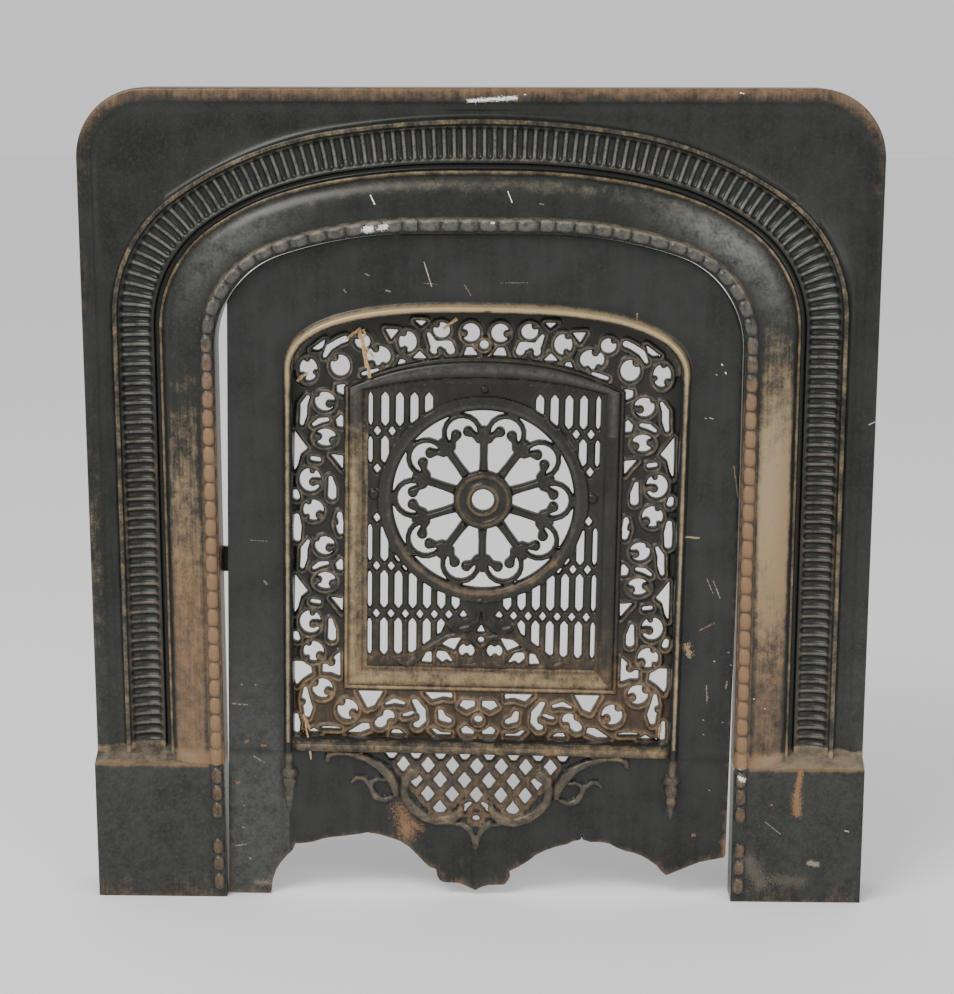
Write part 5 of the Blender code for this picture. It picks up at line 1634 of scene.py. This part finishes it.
@dataclass
class Twine:
    """A short piece of straw twine: a few fibres laid round each other."""

    name: str
    route: tuple[tuple[float, float, float], ...]
    material: Material
    lay: Lay = Lay.TIED
    radius: float = 1.2
    fibres: int = 9
    sides: int = 5
    loose_ends: tuple[tuple[tuple[float, float, float], ...], ...] = ()

    def smooth_route(self, route: tuple, count: int = 10) -> Array:
        """Return points in the leaning frame along a smooth curve through a route.

        Args:
            route: Points that the curve runs through.
            count: Steps between two of them.

        Returns:
            One point a row.
        """
        knots = np.array([route[0], *route, route[-1]], float)
        found = []
        for a, b, c, d in zip(knots, knots[1:], knots[2:], knots[3:]):
            for t in np.linspace(0, 1, count, endpoint=False):
                found.append(0.5 * (2 * b + (c - a) * t + (2 * a - 5 * b + 4 * c - d) * t ** 2
                                    + (3 * b - a - 3 * c + d) * t ** 3))
        found.append(knots[-1])
        return np.array(found)

    def fibre(self, spine: Array, k: int, spread: float, lay: Lay) -> Array:
        """Return the rings of one fibre.

        Args:
            spine: The strand's middle line.
            k: The fibre's number.
            spread: Its distance from the middle line.
            lay: How the strand ends.

        Returns:
            One ring of points for each point of the middle line.
        """
        tangent = np.gradient(spine, axis=0)
        tangent /= np.linalg.norm(tangent, axis=1)[:, None]
        side = np.cross(tangent, [0, 1, 0])
        side /= np.linalg.norm(side, axis=1)[:, None]
        other = np.cross(tangent, side)
        along = np.concatenate([[0], np.cumsum(np.linalg.norm(np.diff(spine, axis=0), axis=1))])
        share = along / along[-1]
        loose = share ** 4 if lay is Lay.FRAYED else np.abs(2 * share - 1) ** 6
        reach = spread * (1 + (0.5 + 0.3 * math.sin(5 * k)) * loose)
        turn = math.tau * k / self.fibres * 2 + along * 0.22 + 0.3 * np.sin(along * 0.5 + k)
        centre = spine + side * (np.cos(turn) * reach)[:, None] + other * (np.sin(turn) * reach)[:, None]
        thick = (self.radius * 0.32 * (1 - 0.4 * (share > 0.97)))[:, None, None]
        around = np.linspace(0, math.tau, self.sides, endpoint=False)
        wall = np.cos(around)[:, None] * side[:, None, :] + np.sin(around)[:, None] * other[:, None, :]
        return centre[:, None, :] + thick * wall

    def build(self) -> Piece:
        """Build the twine and return it."""
        strands = [(self.route, self.fibres, self.lay)]
        strands += [(route, 5, Lay.FRAYED) for route in self.loose_ends]
        points = []
        faces = []
        start = 0
        for route, fibres, lay in strands:
            spine = self.smooth_route(route)
            for k in range(fibres):
                spread = self.radius * (0.34 + 0.36 * (k % 3)) * fibres / self.fibres
                rings = self.fibre(spine, k, spread, lay)
                points.append(rings.reshape(-1, 3))
                last = start + (len(rings) - 1) * self.sides
                for first in range(start, last, self.sides):
                    for j in range(self.sides):
                        a = first + j
                        b = first + (j + 1) % self.sides
                        faces.append([a, b, b + self.sides, a + self.sides])
                faces.append([start + j for j in range(self.sides)][::-1])
                faces.append([last + j for j in range(self.sides)])
                start = last + self.sides
        flat = np.concatenate(points)
        world = leaning_points(flat[:, 0], flat[:, 1], flat[:, 2])
        return make_piece(self.name + "_fibres", world, faces, {}, self.material, (self.name,))


class Kit:
    """Short calls for building a shader's nodes and links."""

    def __init__(self, tree: Tree) -> None:
        """Keep the node tree that the calls add to."""
        self.tree = tree

    def node(self, kind: str, **values: object) -> Node:
        """Add a node and set its properties."""
        made = self.tree.nodes.new(kind)
        for name, value in values.items():
            setattr(made, name, value)
        return made

    def feed(self, socket: Socket, value: object) -> None:
        """Link an output to a socket, or set the socket's value."""
        if isinstance(value, Socket):
            self.tree.links.new(value, socket)
        else:
            socket.default_value = value

    def math(self, operation: str, a: object, b: object = 0, clamp: bool = False) -> Socket:
        """Return the result of a Math node.

        Args:
            operation: The node's operation.
            a: First value.
            b: Second value.
            clamp: Whether the result stays from 0 to 1.

        Returns:
            The result's output.
        """
        made = self.node("ShaderNodeMath", operation=operation, use_clamp=clamp)
        self.feed(made.inputs[0], a)
        self.feed(made.inputs[1], b)
        return made.outputs[0]

    def times(self, a: object, b: object, clamp: bool = False) -> Socket:
        """Return a product."""
        return self.math("MULTIPLY", a, b, clamp)

    def plus(self, a: object, b: object, clamp: bool = False) -> Socket:
        """Return a sum."""
        return self.math("ADD", a, b, clamp)

    def minus(self, a: object, b: object) -> Socket:
        """Return a difference."""
        return self.math("SUBTRACT", a, b)

    def step(self, value: object, low: object, high: object) -> Socket:
        """Return a smooth step of a value between two limits."""
        made = self.node("ShaderNodeMapRange", interpolation_type="SMOOTHSTEP")
        self.feed(made.inputs["Value"], value)
        self.feed(made.inputs["From Min"], low)
        self.feed(made.inputs["From Max"], high)
        return made.outputs[0]

    def mix(self, share: object, a: object, b: object) -> Socket:
        """Return a mix of two colours."""
        made = self.node("ShaderNodeMix", data_type="RGBA")
        self.feed(made.inputs[0], share)
        self.feed(made.inputs[6], a)
        self.feed(made.inputs[7], b)
        return made.outputs[2]

    def noise(self, where: object, scale: float, detail: float = 3,
              rough: float = 0.55) -> Socket:
        """Return a noise value.

        Args:
            where: Coordinates.
            scale: Its scale.
            detail: Its detail.
            rough: Its roughness.

        Returns:
            The value's output.
        """
        made = self.node("ShaderNodeTexNoise")
        self.feed(made.inputs["Vector"], where)
        made.inputs["Scale"].default_value = scale
        made.inputs["Detail"].default_value = detail
        made.inputs["Roughness"].default_value = rough
        return made.outputs[0]

    def bump(self, height: object, strength: float, distance: float) -> Socket:
        """Return a normal bent by a height, which spans a distance in metres."""
        made = self.node("ShaderNodeBump")
        made.inputs["Strength"].default_value = strength
        made.inputs["Distance"].default_value = distance
        self.feed(made.inputs["Height"], height)
        return made.outputs["Normal"]

    def stretched(self, where: object, scale: tuple[float, float, float]) -> Socket:
        """Return coordinates scaled along each axis."""
        made = self.node("ShaderNodeVectorMath", operation="MULTIPLY")
        self.feed(made.inputs[0], where)
        made.inputs[1].default_value = scale
        return made.outputs[0]


def new_material(name: str) -> tuple[Material, Kit, Node]:
    """Return a new material, its kit and its Principled shader."""
    mat = bpy.data.materials.new(name)
    mat.use_nodes = True
    return mat, Kit(mat.node_tree), mat.node_tree.nodes["Principled BSDF"]


def new_group(name: str, inputs: list[tuple[str, str, object]], outputs: list[tuple[str, str]]) -> tuple:
    """Start a shader node group.

    Args:
        name: The group's name.
        inputs: Name, socket type and default of each input.
        outputs: Name and socket type of each output.

    Returns:
        The group's tree, its kit, its input node and its output node.
    """
    tree = bpy.data.node_groups.new(name, "ShaderNodeTree")
    for label, kind, value in inputs:
        socket = tree.interface.new_socket(label, in_out="INPUT", socket_type=kind)
        if value is not None:
            socket.default_value = value
    for label, kind in outputs:
        tree.interface.new_socket(label, in_out="OUTPUT", socket_type=kind)
    kit = Kit(tree)
    return tree, kit, kit.node("NodeGroupInput"), kit.node("NodeGroupOutput")


FLOAT = "NodeSocketFloat"
COLOUR = "NodeSocketColor"
VECTOR = "NodeSocketVector"


def worn_iron_group() -> Tree:
    """Build the group that lays wear, rust, gold and dust over black paint, and paints shade into hollows
    and sheen onto parts that catch the light.

    Returns:
        The group's tree.
    """
    inputs = [("Place", VECTOR, None), ("Paint", COLOUR, (0.02, 0.021, 0.02, 1)),
              ("Sheen Paint", COLOUR, (0.05, 0.052, 0.05, 1)), ("Bronze", COLOUR, (0.2, 0.13, 0.07, 1)),
              ("Gold", COLOUR, (0.5, 0.36, 0.19, 1)), ("Rust", COLOUR, (0.22, 0.09, 0.04, 1)),
              ("Dust", COLOUR, (0.3, 0.25, 0.18, 1)), ("Crest", FLOAT, 0), ("Painted Shade", FLOAT, 0),
              ("Rusting", FLOAT, 0), ("Dusting", FLOAT, 0), ("Gilding", FLOAT, 0), ("Painted Sheen And Dust", FLOAT, 0)]
    outputs = [("Color", COLOUR), ("Roughness", FLOAT), ("Metallic", FLOAT), ("Height", FLOAT)]
    tree, kit, ins, outs = new_group("worn_iron", inputs, outputs)
    given = ins.outputs
    at = given["Place"]
    broad = kit.noise(at, 26, 3)
    patch = kit.noise(at, 95, 4, 0.6)
    grit = kit.noise(at, 620, 3, 0.65)
    streak = kit.noise(kit.stretched(at, (420, 420, 22)), 1, 4, 0.6)
    smear = kit.noise(kit.stretched(at, (110, 110, 12)), 1, 3, 0.6)
    chatter = kit.math("MULTIPLY_ADD", grit, 0.45)
    chatter.node.inputs[2].default_value = -0.22
    blotch = kit.plus(kit.times(kit.minus(patch, 0.5), 0.75), chatter)
    tone = kit.mix(kit.step(kit.plus(broad, kit.times(smear, 0.5)), 0.45, 1),
                   given["Paint"], given["Sheen Paint"])
    mottle = kit.noise(at, 330, 5, 0.72)
    tone = kit.mix(kit.times(kit.step(mottle, 0.46, 0.70), 0.6), tone, (0.030, 0.030, 0.025, 1))
    fleck = kit.step(kit.noise(at, 1150, 2, 0.5), 0.63, 0.72)
    tone = kit.mix(kit.times(fleck, 0.3), tone, (0.085, 0.078, 0.062, 1))
    # A pale grey film mixed in by the sheen layer: painted sheen and highlights where light catches
    # shoulders, rib and bead tops and rounded rails, plus a dust film on low parts.
    sheen_and_dust_share = kit.times(given["Painted Sheen And Dust"], kit.step(kit.plus(mottle, patch), 0.55, 1.25))
    tone = kit.mix(kit.times(sheen_and_dust_share, 0.8), tone, (0.20, 0.20, 0.185, 1))
    lined = kit.plus(kit.times(kit.minus(streak, 0.5), 0.45), blotch)
    rusted = kit.step(kit.plus(given["Rusting"], kit.times(lined, 0.8)), 0.24, 0.92)
    worn = kit.step(kit.plus(given["Crest"], kit.times(blotch, 0.7)), 0.28, 0.80)
    gilt = kit.step(kit.plus(given["Gilding"], kit.times(lined, 0.9)), 0.32, 1.02)
    dusty = kit.step(kit.plus(given["Dusting"], kit.times(blotch, 0.8)), 0.25, 0.85)
    metal = kit.mix(gilt, given["Bronze"], given["Gold"])
    colour = kit.mix(kit.times(gilt, 0.7), tone, given["Gold"])
    colour = kit.mix(kit.times(rusted, 0.8), colour, given["Rust"])
    colour = kit.mix(kit.times(worn, 0.85), colour, metal)
    colour = kit.mix(kit.times(dusty, 0.7), colour, given["Dust"])
    # Painted shade: the shade input darkens the colour towards near-black in grooves, recesses and gaps
    # where shadow falls.
    painted_shade = kit.times(given["Painted Shade"], 0.7, clamp=True)
    colour = kit.mix(painted_shade, colour, (0.008, 0.008, 0.007, 1))
    rough = kit.plus(0.24, kit.times(patch, 0.16))
    rough = kit.plus(rough, kit.times(rusted, 0.16))
    rough = kit.plus(rough, kit.times(dusty, 0.3), clamp=True)
    kit.feed(outs.inputs["Color"], colour)
    kit.feed(outs.inputs["Roughness"], rough)
    kit.feed(outs.inputs["Metallic"], kit.times(worn, 0.35))
    relief = kit.plus(kit.times(grit, 0.5), kit.times(patch, 0.6))
    kit.feed(outs.inputs["Height"], kit.plus(relief, kit.times(rusted, 0.2)))
    return tree


def mark_group() -> Tree:
    """Build the group that finds a ragged stroke between two places on the front."""
    inputs = [("Place", VECTOR, None), ("From", VECTOR, None), ("To", VECTOR, None),
              ("Half Width", FLOAT, 0.001), ("Ragged", FLOAT, 0.5)]
    tree, kit, ins, outs = new_group("chip_mark", inputs, [("Mask", FLOAT)])

    def vector(operation: str, a: object, b: object) -> Node:
        """Return a Vector Math node."""
        made = kit.node("ShaderNodeVectorMath", operation=operation)
        kit.feed(made.inputs[0], a)
        kit.feed(made.inputs[1], b)
        return made

    flat = vector("MULTIPLY", ins.outputs["Place"], (1, 0, 1)).outputs[0]
    reach = vector("SUBTRACT", flat, ins.outputs["From"]).outputs[0]
    span = vector("SUBTRACT", ins.outputs["To"], ins.outputs["From"]).outputs[0]
    dot = vector("DOT_PRODUCT", reach, span).outputs["Value"]
    square = kit.plus(vector("DOT_PRODUCT", span, span).outputs["Value"], 1e-9)
    share = kit.math("DIVIDE", dot, square, clamp=True)
    scaled = kit.node("ShaderNodeVectorMath", operation="SCALE")
    kit.feed(scaled.inputs[0], span)
    kit.feed(scaled.inputs["Scale"], share)
    away = vector("DISTANCE", reach, scaled.outputs[0]).outputs["Value"]
    rough = kit.minus(kit.noise(ins.outputs["Place"], 700, 3, 0.7), 0.5)
    rough = kit.times(kit.times(rough, ins.outputs["Ragged"]), ins.outputs["Half Width"])
    away = kit.plus(away, kit.times(rough, 4))
    inner = kit.times(ins.outputs["Half Width"], 0.7)
    near = kit.step(away, ins.outputs["Half Width"], inner)
    kit.feed(outs.inputs["Mask"], near)
    return tree


@dataclass(frozen=True)
class Mark:
    """A chip, spot or scratch: its two ends and half width in millimetres, and its colour."""

    start_x: float
    start_z: float
    end_x: float
    end_z: float
    half: float
    colour: tuple[float, float, float]
    ragged: float = 0.8
    strength: float = 1


@dataclass(frozen=True)
class IronFinish:
    """Black-painted cast iron with its wear colours and its own marks."""

    name: str
    paint: tuple[float, float, float]
    sheen: tuple[float, float, float]
    bronze: tuple[float, float, float]
    gold: tuple[float, float, float]
    rust: tuple[float, float, float]
    dust: tuple[float, float, float]
    marks: tuple[Mark, ...] = ()
    grain: float = 0.00022

    def material(self, worn: Tree, chip: Tree) -> Material:
        """Return the finish as a material.

        Args:
            worn: Group that lays the wear.
            chip: Group that finds a mark.

        Returns:
            The material.
        """
        mat, kit, shader = new_material(self.name)
        place = kit.node("ShaderNodeTexCoord").outputs["Object"]
        group = kit.node("ShaderNodeGroup", node_tree=worn)
        kit.feed(group.inputs["Place"], place)
        colours = {"Paint": self.paint, "Sheen Paint": self.sheen, "Bronze": self.bronze, "Gold": self.gold,
                   "Rust": self.rust, "Dust": self.dust}
        for label, colour in colours.items():
            group.inputs[label].default_value = (*colour, 1)
        # The hollow layer carries painted shade; the sheen layer carries painted sheen and dust.
        layers = {"Crest": "crest", "Painted Shade": "hollow", "Rusting": "rust", "Dusting": "dust",
                  "Gilding": "gold", "Painted Sheen And Dust": "painted_sheen_and_dust"}
        for label, layer in layers.items():
            found = kit.node("ShaderNodeAttribute", attribute_name=layer)
            kit.feed(group.inputs[label], found.outputs["Fac"])
        colour = group.outputs["Color"]
        rough = group.outputs["Roughness"]
        for mark in self.marks:
            spot = kit.node("ShaderNodeGroup", node_tree=chip)
            kit.feed(spot.inputs["Place"], place)
            spot.inputs["From"].default_value = (mark.start_x * MM, 0, mark.start_z * MM)
            spot.inputs["To"].default_value = (mark.end_x * MM, 0, mark.end_z * MM)
            spot.inputs["Half Width"].default_value = mark.half * MM
            spot.inputs["Ragged"].default_value = mark.ragged
            mask = kit.times(spot.outputs["Mask"], mark.strength)
            colour = kit.mix(mask, colour, (*mark.colour, 1))
            rough = kit.plus(rough, kit.times(mask, 0.2), clamp=True)
        kit.feed(shader.inputs["Base Color"], colour)
        kit.feed(shader.inputs["Roughness"], rough)
        kit.feed(shader.inputs["Metallic"], group.outputs["Metallic"])
        kit.feed(shader.inputs["Normal"], kit.bump(group.outputs["Height"], 0.55, self.grain))
        shader.inputs["Specular IOR Level"].default_value = 0.3
        shader.inputs["Specular Tint"].default_value = (1, 0.985, 0.93, 1)
        return mat


@dataclass(frozen=True)
class StrawFinish:
    """Pale straw twine with fine lengthwise streaks."""

    pale: tuple[float, float, float] = (0.72, 0.52, 0.28)
    brown: tuple[float, float, float] = (0.42, 0.25, 0.10)

    def material(self) -> Material:
        """Return the finish as a material."""
        mat, kit, shader = new_material("straw_twine")
        place = kit.node("ShaderNodeTexCoord").outputs["Object"]
        fibre = kit.noise(kit.stretched(place, (1500, 1500, 220)), 1, 3, 0.6)
        colour = kit.mix(kit.step(fibre, 0.35, 0.7), (*self.brown, 1), (*self.pale, 1))
        kit.feed(shader.inputs["Base Color"], colour)
        shader.inputs["Roughness"].default_value = 0.75
        kit.feed(shader.inputs["Normal"], kit.bump(fibre, 0.5, 0.0003))
        return mat


@dataclass
class Studio:
    """Pale floor, soft lights and the camera."""

    eye: tuple[float, float, float] = (45.2, -2068.6, 843.3)
    pitch: float = 0.2083
    yaw: float = -0.0229
    roll: float = 0.0011
    focal: float = 2165.3
    long_side: float = 994

    def camera(self) -> None:
        """Place the camera where the photograph was taken from."""
        data = bpy.data.cameras.new("camera")
        data.sensor_width = 36
        data.lens = self.focal * 36 / self.long_side
        data.clip_end = 50
        cam = bpy.data.objects.new("camera", data)
        bpy.context.collection.objects.link(cam)
        level = math.cos(self.pitch)
        ahead = Vector((math.sin(self.yaw) * level, math.cos(self.yaw) * level, -math.sin(self.pitch)))
        right = Vector((math.cos(self.yaw), -math.sin(self.yaw), 0))
        up = right.cross(ahead)
        turned_right = right * math.cos(self.roll) + up * math.sin(self.roll)
        turned_up = up * math.cos(self.roll) - right * math.sin(self.roll)
        axes = Matrix((turned_right, turned_up, -ahead)).transposed().to_4x4()
        cam.matrix_world = Matrix.Translation(Vector(self.eye) * MM) @ axes
        bpy.context.scene.camera = cam

    def floor(self) -> None:
        """Lay the pale floor."""
        mesh = bpy.data.meshes.new("floor")
        half = 14
        mesh.from_pydata([(-half, -half, 0), (half, -half, 0), (half, half, 0), (-half, half, 0)], [],
                         [(0, 1, 2, 3)])
        mat, _, shader = new_material("pale_floor")
        shader.inputs["Base Color"].default_value = (0.94, 0.94, 0.94, 1)
        shader.inputs["Roughness"].default_value = 0.9
        shader.inputs["Specular IOR Level"].default_value = 0.1
        mesh.materials.append(mat)
        floor = bpy.data.objects.new("floor", mesh)
        bpy.context.collection.objects.link(floor)

    def lamp(self, name: str, at: tuple[float, float, float], aim: tuple[float, float, float],
             size: tuple[float, float], power: float) -> None:
        """Hang one rectangular soft light.

        Args:
            name: Its name.
            at: Where it hangs.
            aim: What it faces.
            size: Width and height.
            power: Its power in watts.
        """
        data = bpy.data.lights.new(name, "AREA")
        data.shape = "RECTANGLE"
        data.size = size[0]
        data.size_y = size[1]
        data.energy = power
        lamp = bpy.data.objects.new(name, data)
        lamp.location = at
        lamp.rotation_mode = "QUATERNION"
        lamp.rotation_quaternion = (Vector(aim) - Vector(at)).to_track_quat("-Z", "Y")
        bpy.context.collection.objects.link(lamp)

    def lights(self) -> None:
        """Hang the soft lights and set the pale surroundings."""
        world = bpy.data.worlds.new("studio")
        world.use_nodes = True
        back = world.node_tree.nodes["Background"]
        back.inputs["Color"].default_value = (1, 1, 1, 1)
        back.inputs["Strength"].default_value = 0.85
        bpy.context.scene.world = world
        middle = (0, 0, 0.45)
        self.lamp("key", (-1.2, -1.6, 2.6), middle, (1.6, 1), 60)
        self.lamp("fill", (1.8, -2.2, 1.4), middle, (1.2, 1.6), 18.0)


WHITE = (0.85, 0.85, 0.83)
CREAM = (0.40, 0.34, 0.25)
ORANGE = (0.27, 0.145, 0.07)
TAN = (0.38, 0.27, 0.15)


def surround_marks() -> tuple[Mark, ...]:
    """Return the surround's chips, spots and rust runs."""
    return (
        Mark(-10, 787, 34, 790, 1.6, WHITE, 1.8), Mark(42, 793, 43, 793, 0.55, WHITE),
        Mark(243, 795, 246, 794, 0.66, WHITE), Mark(27, 704, 31, 694, 0.5, WHITE, 0.8),
        Mark(57, 693, 61, 692, 0.5, CREAM, 2, 0.4), Mark(-102, 700, -98, 692, 0.61, WHITE),
        Mark(-106, 668, -102, 669, 3.4, WHITE, 0.9), Mark(-92, 670, -88, 671, 3.2, WHITE, 0.9, 0.8),
        Mark(12, 675, 14, 675, 0.88, WHITE, 1), Mark(374, 482, 380, 485, 0.55, CREAM),
        Mark(258, 131, 262, 129, 2.2, WHITE, 1), Mark(251, 141, 252, 139, 0.55, WHITE),
        Mark(257.5, 140, 258, 140, 0.44, WHITE), Mark(318, 136, 315, 112, 3, ORANGE, 1.4, 0.8),
        Mark(315, 112, 316, 94, 4.4, ORANGE, 1.4, 0.8), Mark(290, 102, 290.6, 102, 0.99, ORANGE),
        Mark(285, 84, 300, 72, 0.39, CREAM, 1, 0.6), Mark(364, 76, 367, 75, 0.88, CREAM, 1.2),
        Mark(330, 42, 337, 40, 2.8, CREAM, 1.2, 0.6), Mark(268, 44, 282, 20, 8, CREAM, 1.6, 0.16),
        Mark(296, 24, 322, 22, 6, CREAM, 1.6, 0.12), Mark(270, 211, 270.4, 211, 0.5, WHITE, 0.2),
        Mark(281, 201, 281.4, 201, 0.44, WHITE, 0.2), Mark(290, 174, 290.4, 174, 0.44, ORANGE, 0.2),
    )


def cover_marks() -> tuple[Mark, ...]:
    """Return the cover's scratches, flecks and its rust patch."""
    flecks = ((226, 531), (216.5, 489), (247, 243.5), (244, 256.5), (225.4, 210.5), (221, 187),
              (221.8, 172), (240, 185), (229, 114), (-234.6, 220), (-221, 220), (-235, 94),
              (-235.8, 71.0), (-230.0, 38.0), (-171.0, 553.0))
    spots = ((-231.0, 161.0), (-214.0, 157.0), (-241.0, 118.0), (214.0, 67.0))
    few = tuple(Mark(x, z, x + 1.2, z - 0.6, 0.5, CREAM, 1.2, 0.7) for x, z in flecks)
    few += tuple(Mark(x, z, x + 1.5, z, 1.5, ORANGE, 1.6, 0.7) for x, z in spots)
    return few + (
        Mark(245.4, 442, 250, 411, 0.5, TAN, 2.2, 0.5),
        Mark(227.9, 329, 235.2, 311, 0.4, CREAM, 2.2, 0.6),
        Mark(-244, 200, -229, 199, 0.5, TAN, 2.2, 0.6), Mark(-224, 146, -213, 139, 0.4, CREAM, 2, 0.6),
        Mark(-244, 51, -232, 53, 0.5, CREAM, 2, 0.6), Mark(-222, 12, -213, 12, 2.6, CREAM, 2.2, 0.3),
        Mark(-52, 617, -40, 616, 0.31, CREAM, 2.6, 0.3), Mark(20, 617.6, 46, 618, 0.26, CREAM, 2.6, 0.3),
        Mark(-52, 637, -45, 614, 0.5, CREAM, 0.8), Mark(-14, 616, -8, 606, 0.44, CREAM, 2.2, 0.4),
        Mark(-108, 626, -104, 624, 0.53, CREAM, 2.2, 0.48),
        Mark(-128, 610, -127, 608, 0.62, CREAM, 2.2, 0.4),
        Mark(-88, 610, -84, 609, 0.53, CREAM, 2.2, 0.48), Mark(150, 577, 150, 590, 0.35, TAN, 2.2, 0.72),
        Mark(231, 541, 232, 540, 0.55, WHITE, 0.8), Mark(235, 533, 235.6, 532, 0.66, WHITE, 0.8),
        Mark(221, 489, 224, 488, 0.5, CREAM, 0.8), Mark(201, 372, 213, 371, 1.04, TAN, 0.7, 0.9),
        Mark(222, 330, 228, 316, 0.35, CREAM, 2.2, 0.64),
        Mark(216, 278, 230, 286, 0.61, ORANGE, 1.6, 0.7), Mark(204, 262, 206, 254, 3, TAN, 1.8, 0.7),
        Mark(-222, 366, -206, 365, 0.31, TAN, 2.2, 0.48),
        Mark(-210, 325, -207, 322, 0.62, CREAM, 2.2, 0.48), Mark(-78, 92, -72, 66, 6, ORANGE, 2.4, 0.6),
        Mark(-66, 76, -58, 72, 3, ORANGE, 2.4, 0.5), Mark(224, 222, 225, 204, 0.44, CREAM, 2.2, 0.56),
        Mark(244, 226, 243, 219, 0.53, TAN, 2.2, 0.64), Mark(231, 247, 231.4, 247, 0.5, WHITE, 0.4),
    )


def main() -> None:
    """Build the studio, the finishes and every piece, in order."""
    logging.basicConfig(level=logging.INFO, format="%(name)s: %(message)s")
    studio = Studio()
    studio.camera()
    straw = StrawFinish().material()
    flat = 45.2
    rail = 48.9
    ties = {
        "twine_tie_top_left": ((-134, flat, 561), (-127, flat + 1, 567), (-121, flat + 2, 571)),
        "twine_tie_top": ((-42.0, flat, 572.0), (-35.0, flat + 1.0, 578.0), (-29.0, flat, 582.0)),
        "twine_tie_left": ((-182, flat, 519), (-177, flat + 1, 524), (-172, flat, 527)),
        "twine_tie_lower_left": ((-178.0, flat, 184.0), (-173.0, flat + 1.0, 176.0), (-170.0, flat, 168.0)),
        "twine_tie_lower_right": ((178.0, flat, 182.0), (177.0, flat + 1.0, 175.0), (176.0, flat, 168.0)),
    }
    tail_route = ((-121, 51.2, 567.5), (-118, rail + 1, 556), (-115, rail + 1.5, 540),
                  (-112, rail + 1, 524))
    tail = Twine("twine_tail", tail_route, straw, Lay.FRAYED)
    piece = tail.build()
    loose_ends = {
        "twine_tie_top_left": (
            ((-118.6, 46.6, 570.6), (-117, 49.4, 566), (-119, 50.6, 561.6), (-122.6, 48.8, 563.6),
             (-121.6, 46.8, 568.0), (-117.8, 47.8, 568.8), (-116.4, 49.6, 563.6)),
            ((-120.6, 48.6, 563), (-117.6, 50.8, 556), (-112.6, 50.8, 549), (-107.8, 50, 543.6)),
            ((-120.4, 48.6, 564), (-119.4, 51.4, 555), (-117.2, 51.4, 543), (-115.6, 50.6, 534))),
        "twine_tie_lower_left": (((-174.6, 46.8, 177.0), (-173.2, 49.0, 168.0), (-169.4, 60.4, 156.0),
                                  (-167.6, 61.4, 143)),),
    }
    for name, route in ties.items():
        Twine(name, route, straw, loose_ends=loose_ends.get(name, ())).build()

    worn = worn_iron_group()
    chip = mark_group()
    wear = {"bronze": (0.185, 0.13, 0.072), "gold": (0.43, 0.32, 0.18), "rust": (0.27, 0.16, 0.085),
            "dust": (0.27, 0.22, 0.145)}
    surround_iron = IronFinish("surround_black", (0.0065, 0.0072, 0.0065), (0.018, 0.0195, 0.0175),
                               marks=surround_marks(), **wear)
    cover_iron = IronFinish("cover_black", (0.0095, 0.0106, 0.0106), (0.023, 0.0252, 0.0248),
                            marks=cover_marks(), grain=0.00016, **wear)
    grille_iron = IronFinish("grille_black", (0.010, 0.0098, 0.008), (0.024, 0.023, 0.018), **wear)
    SurroundCasting(surround_iron.material(worn, chip)).build()
    CoverPlate(cover_iron.material(worn, chip)).build()
    GrillePanel(grille_iron.material(worn, chip)).build()
    studio.floor()
    studio.lights()


if __name__ == "__main__":
    main()
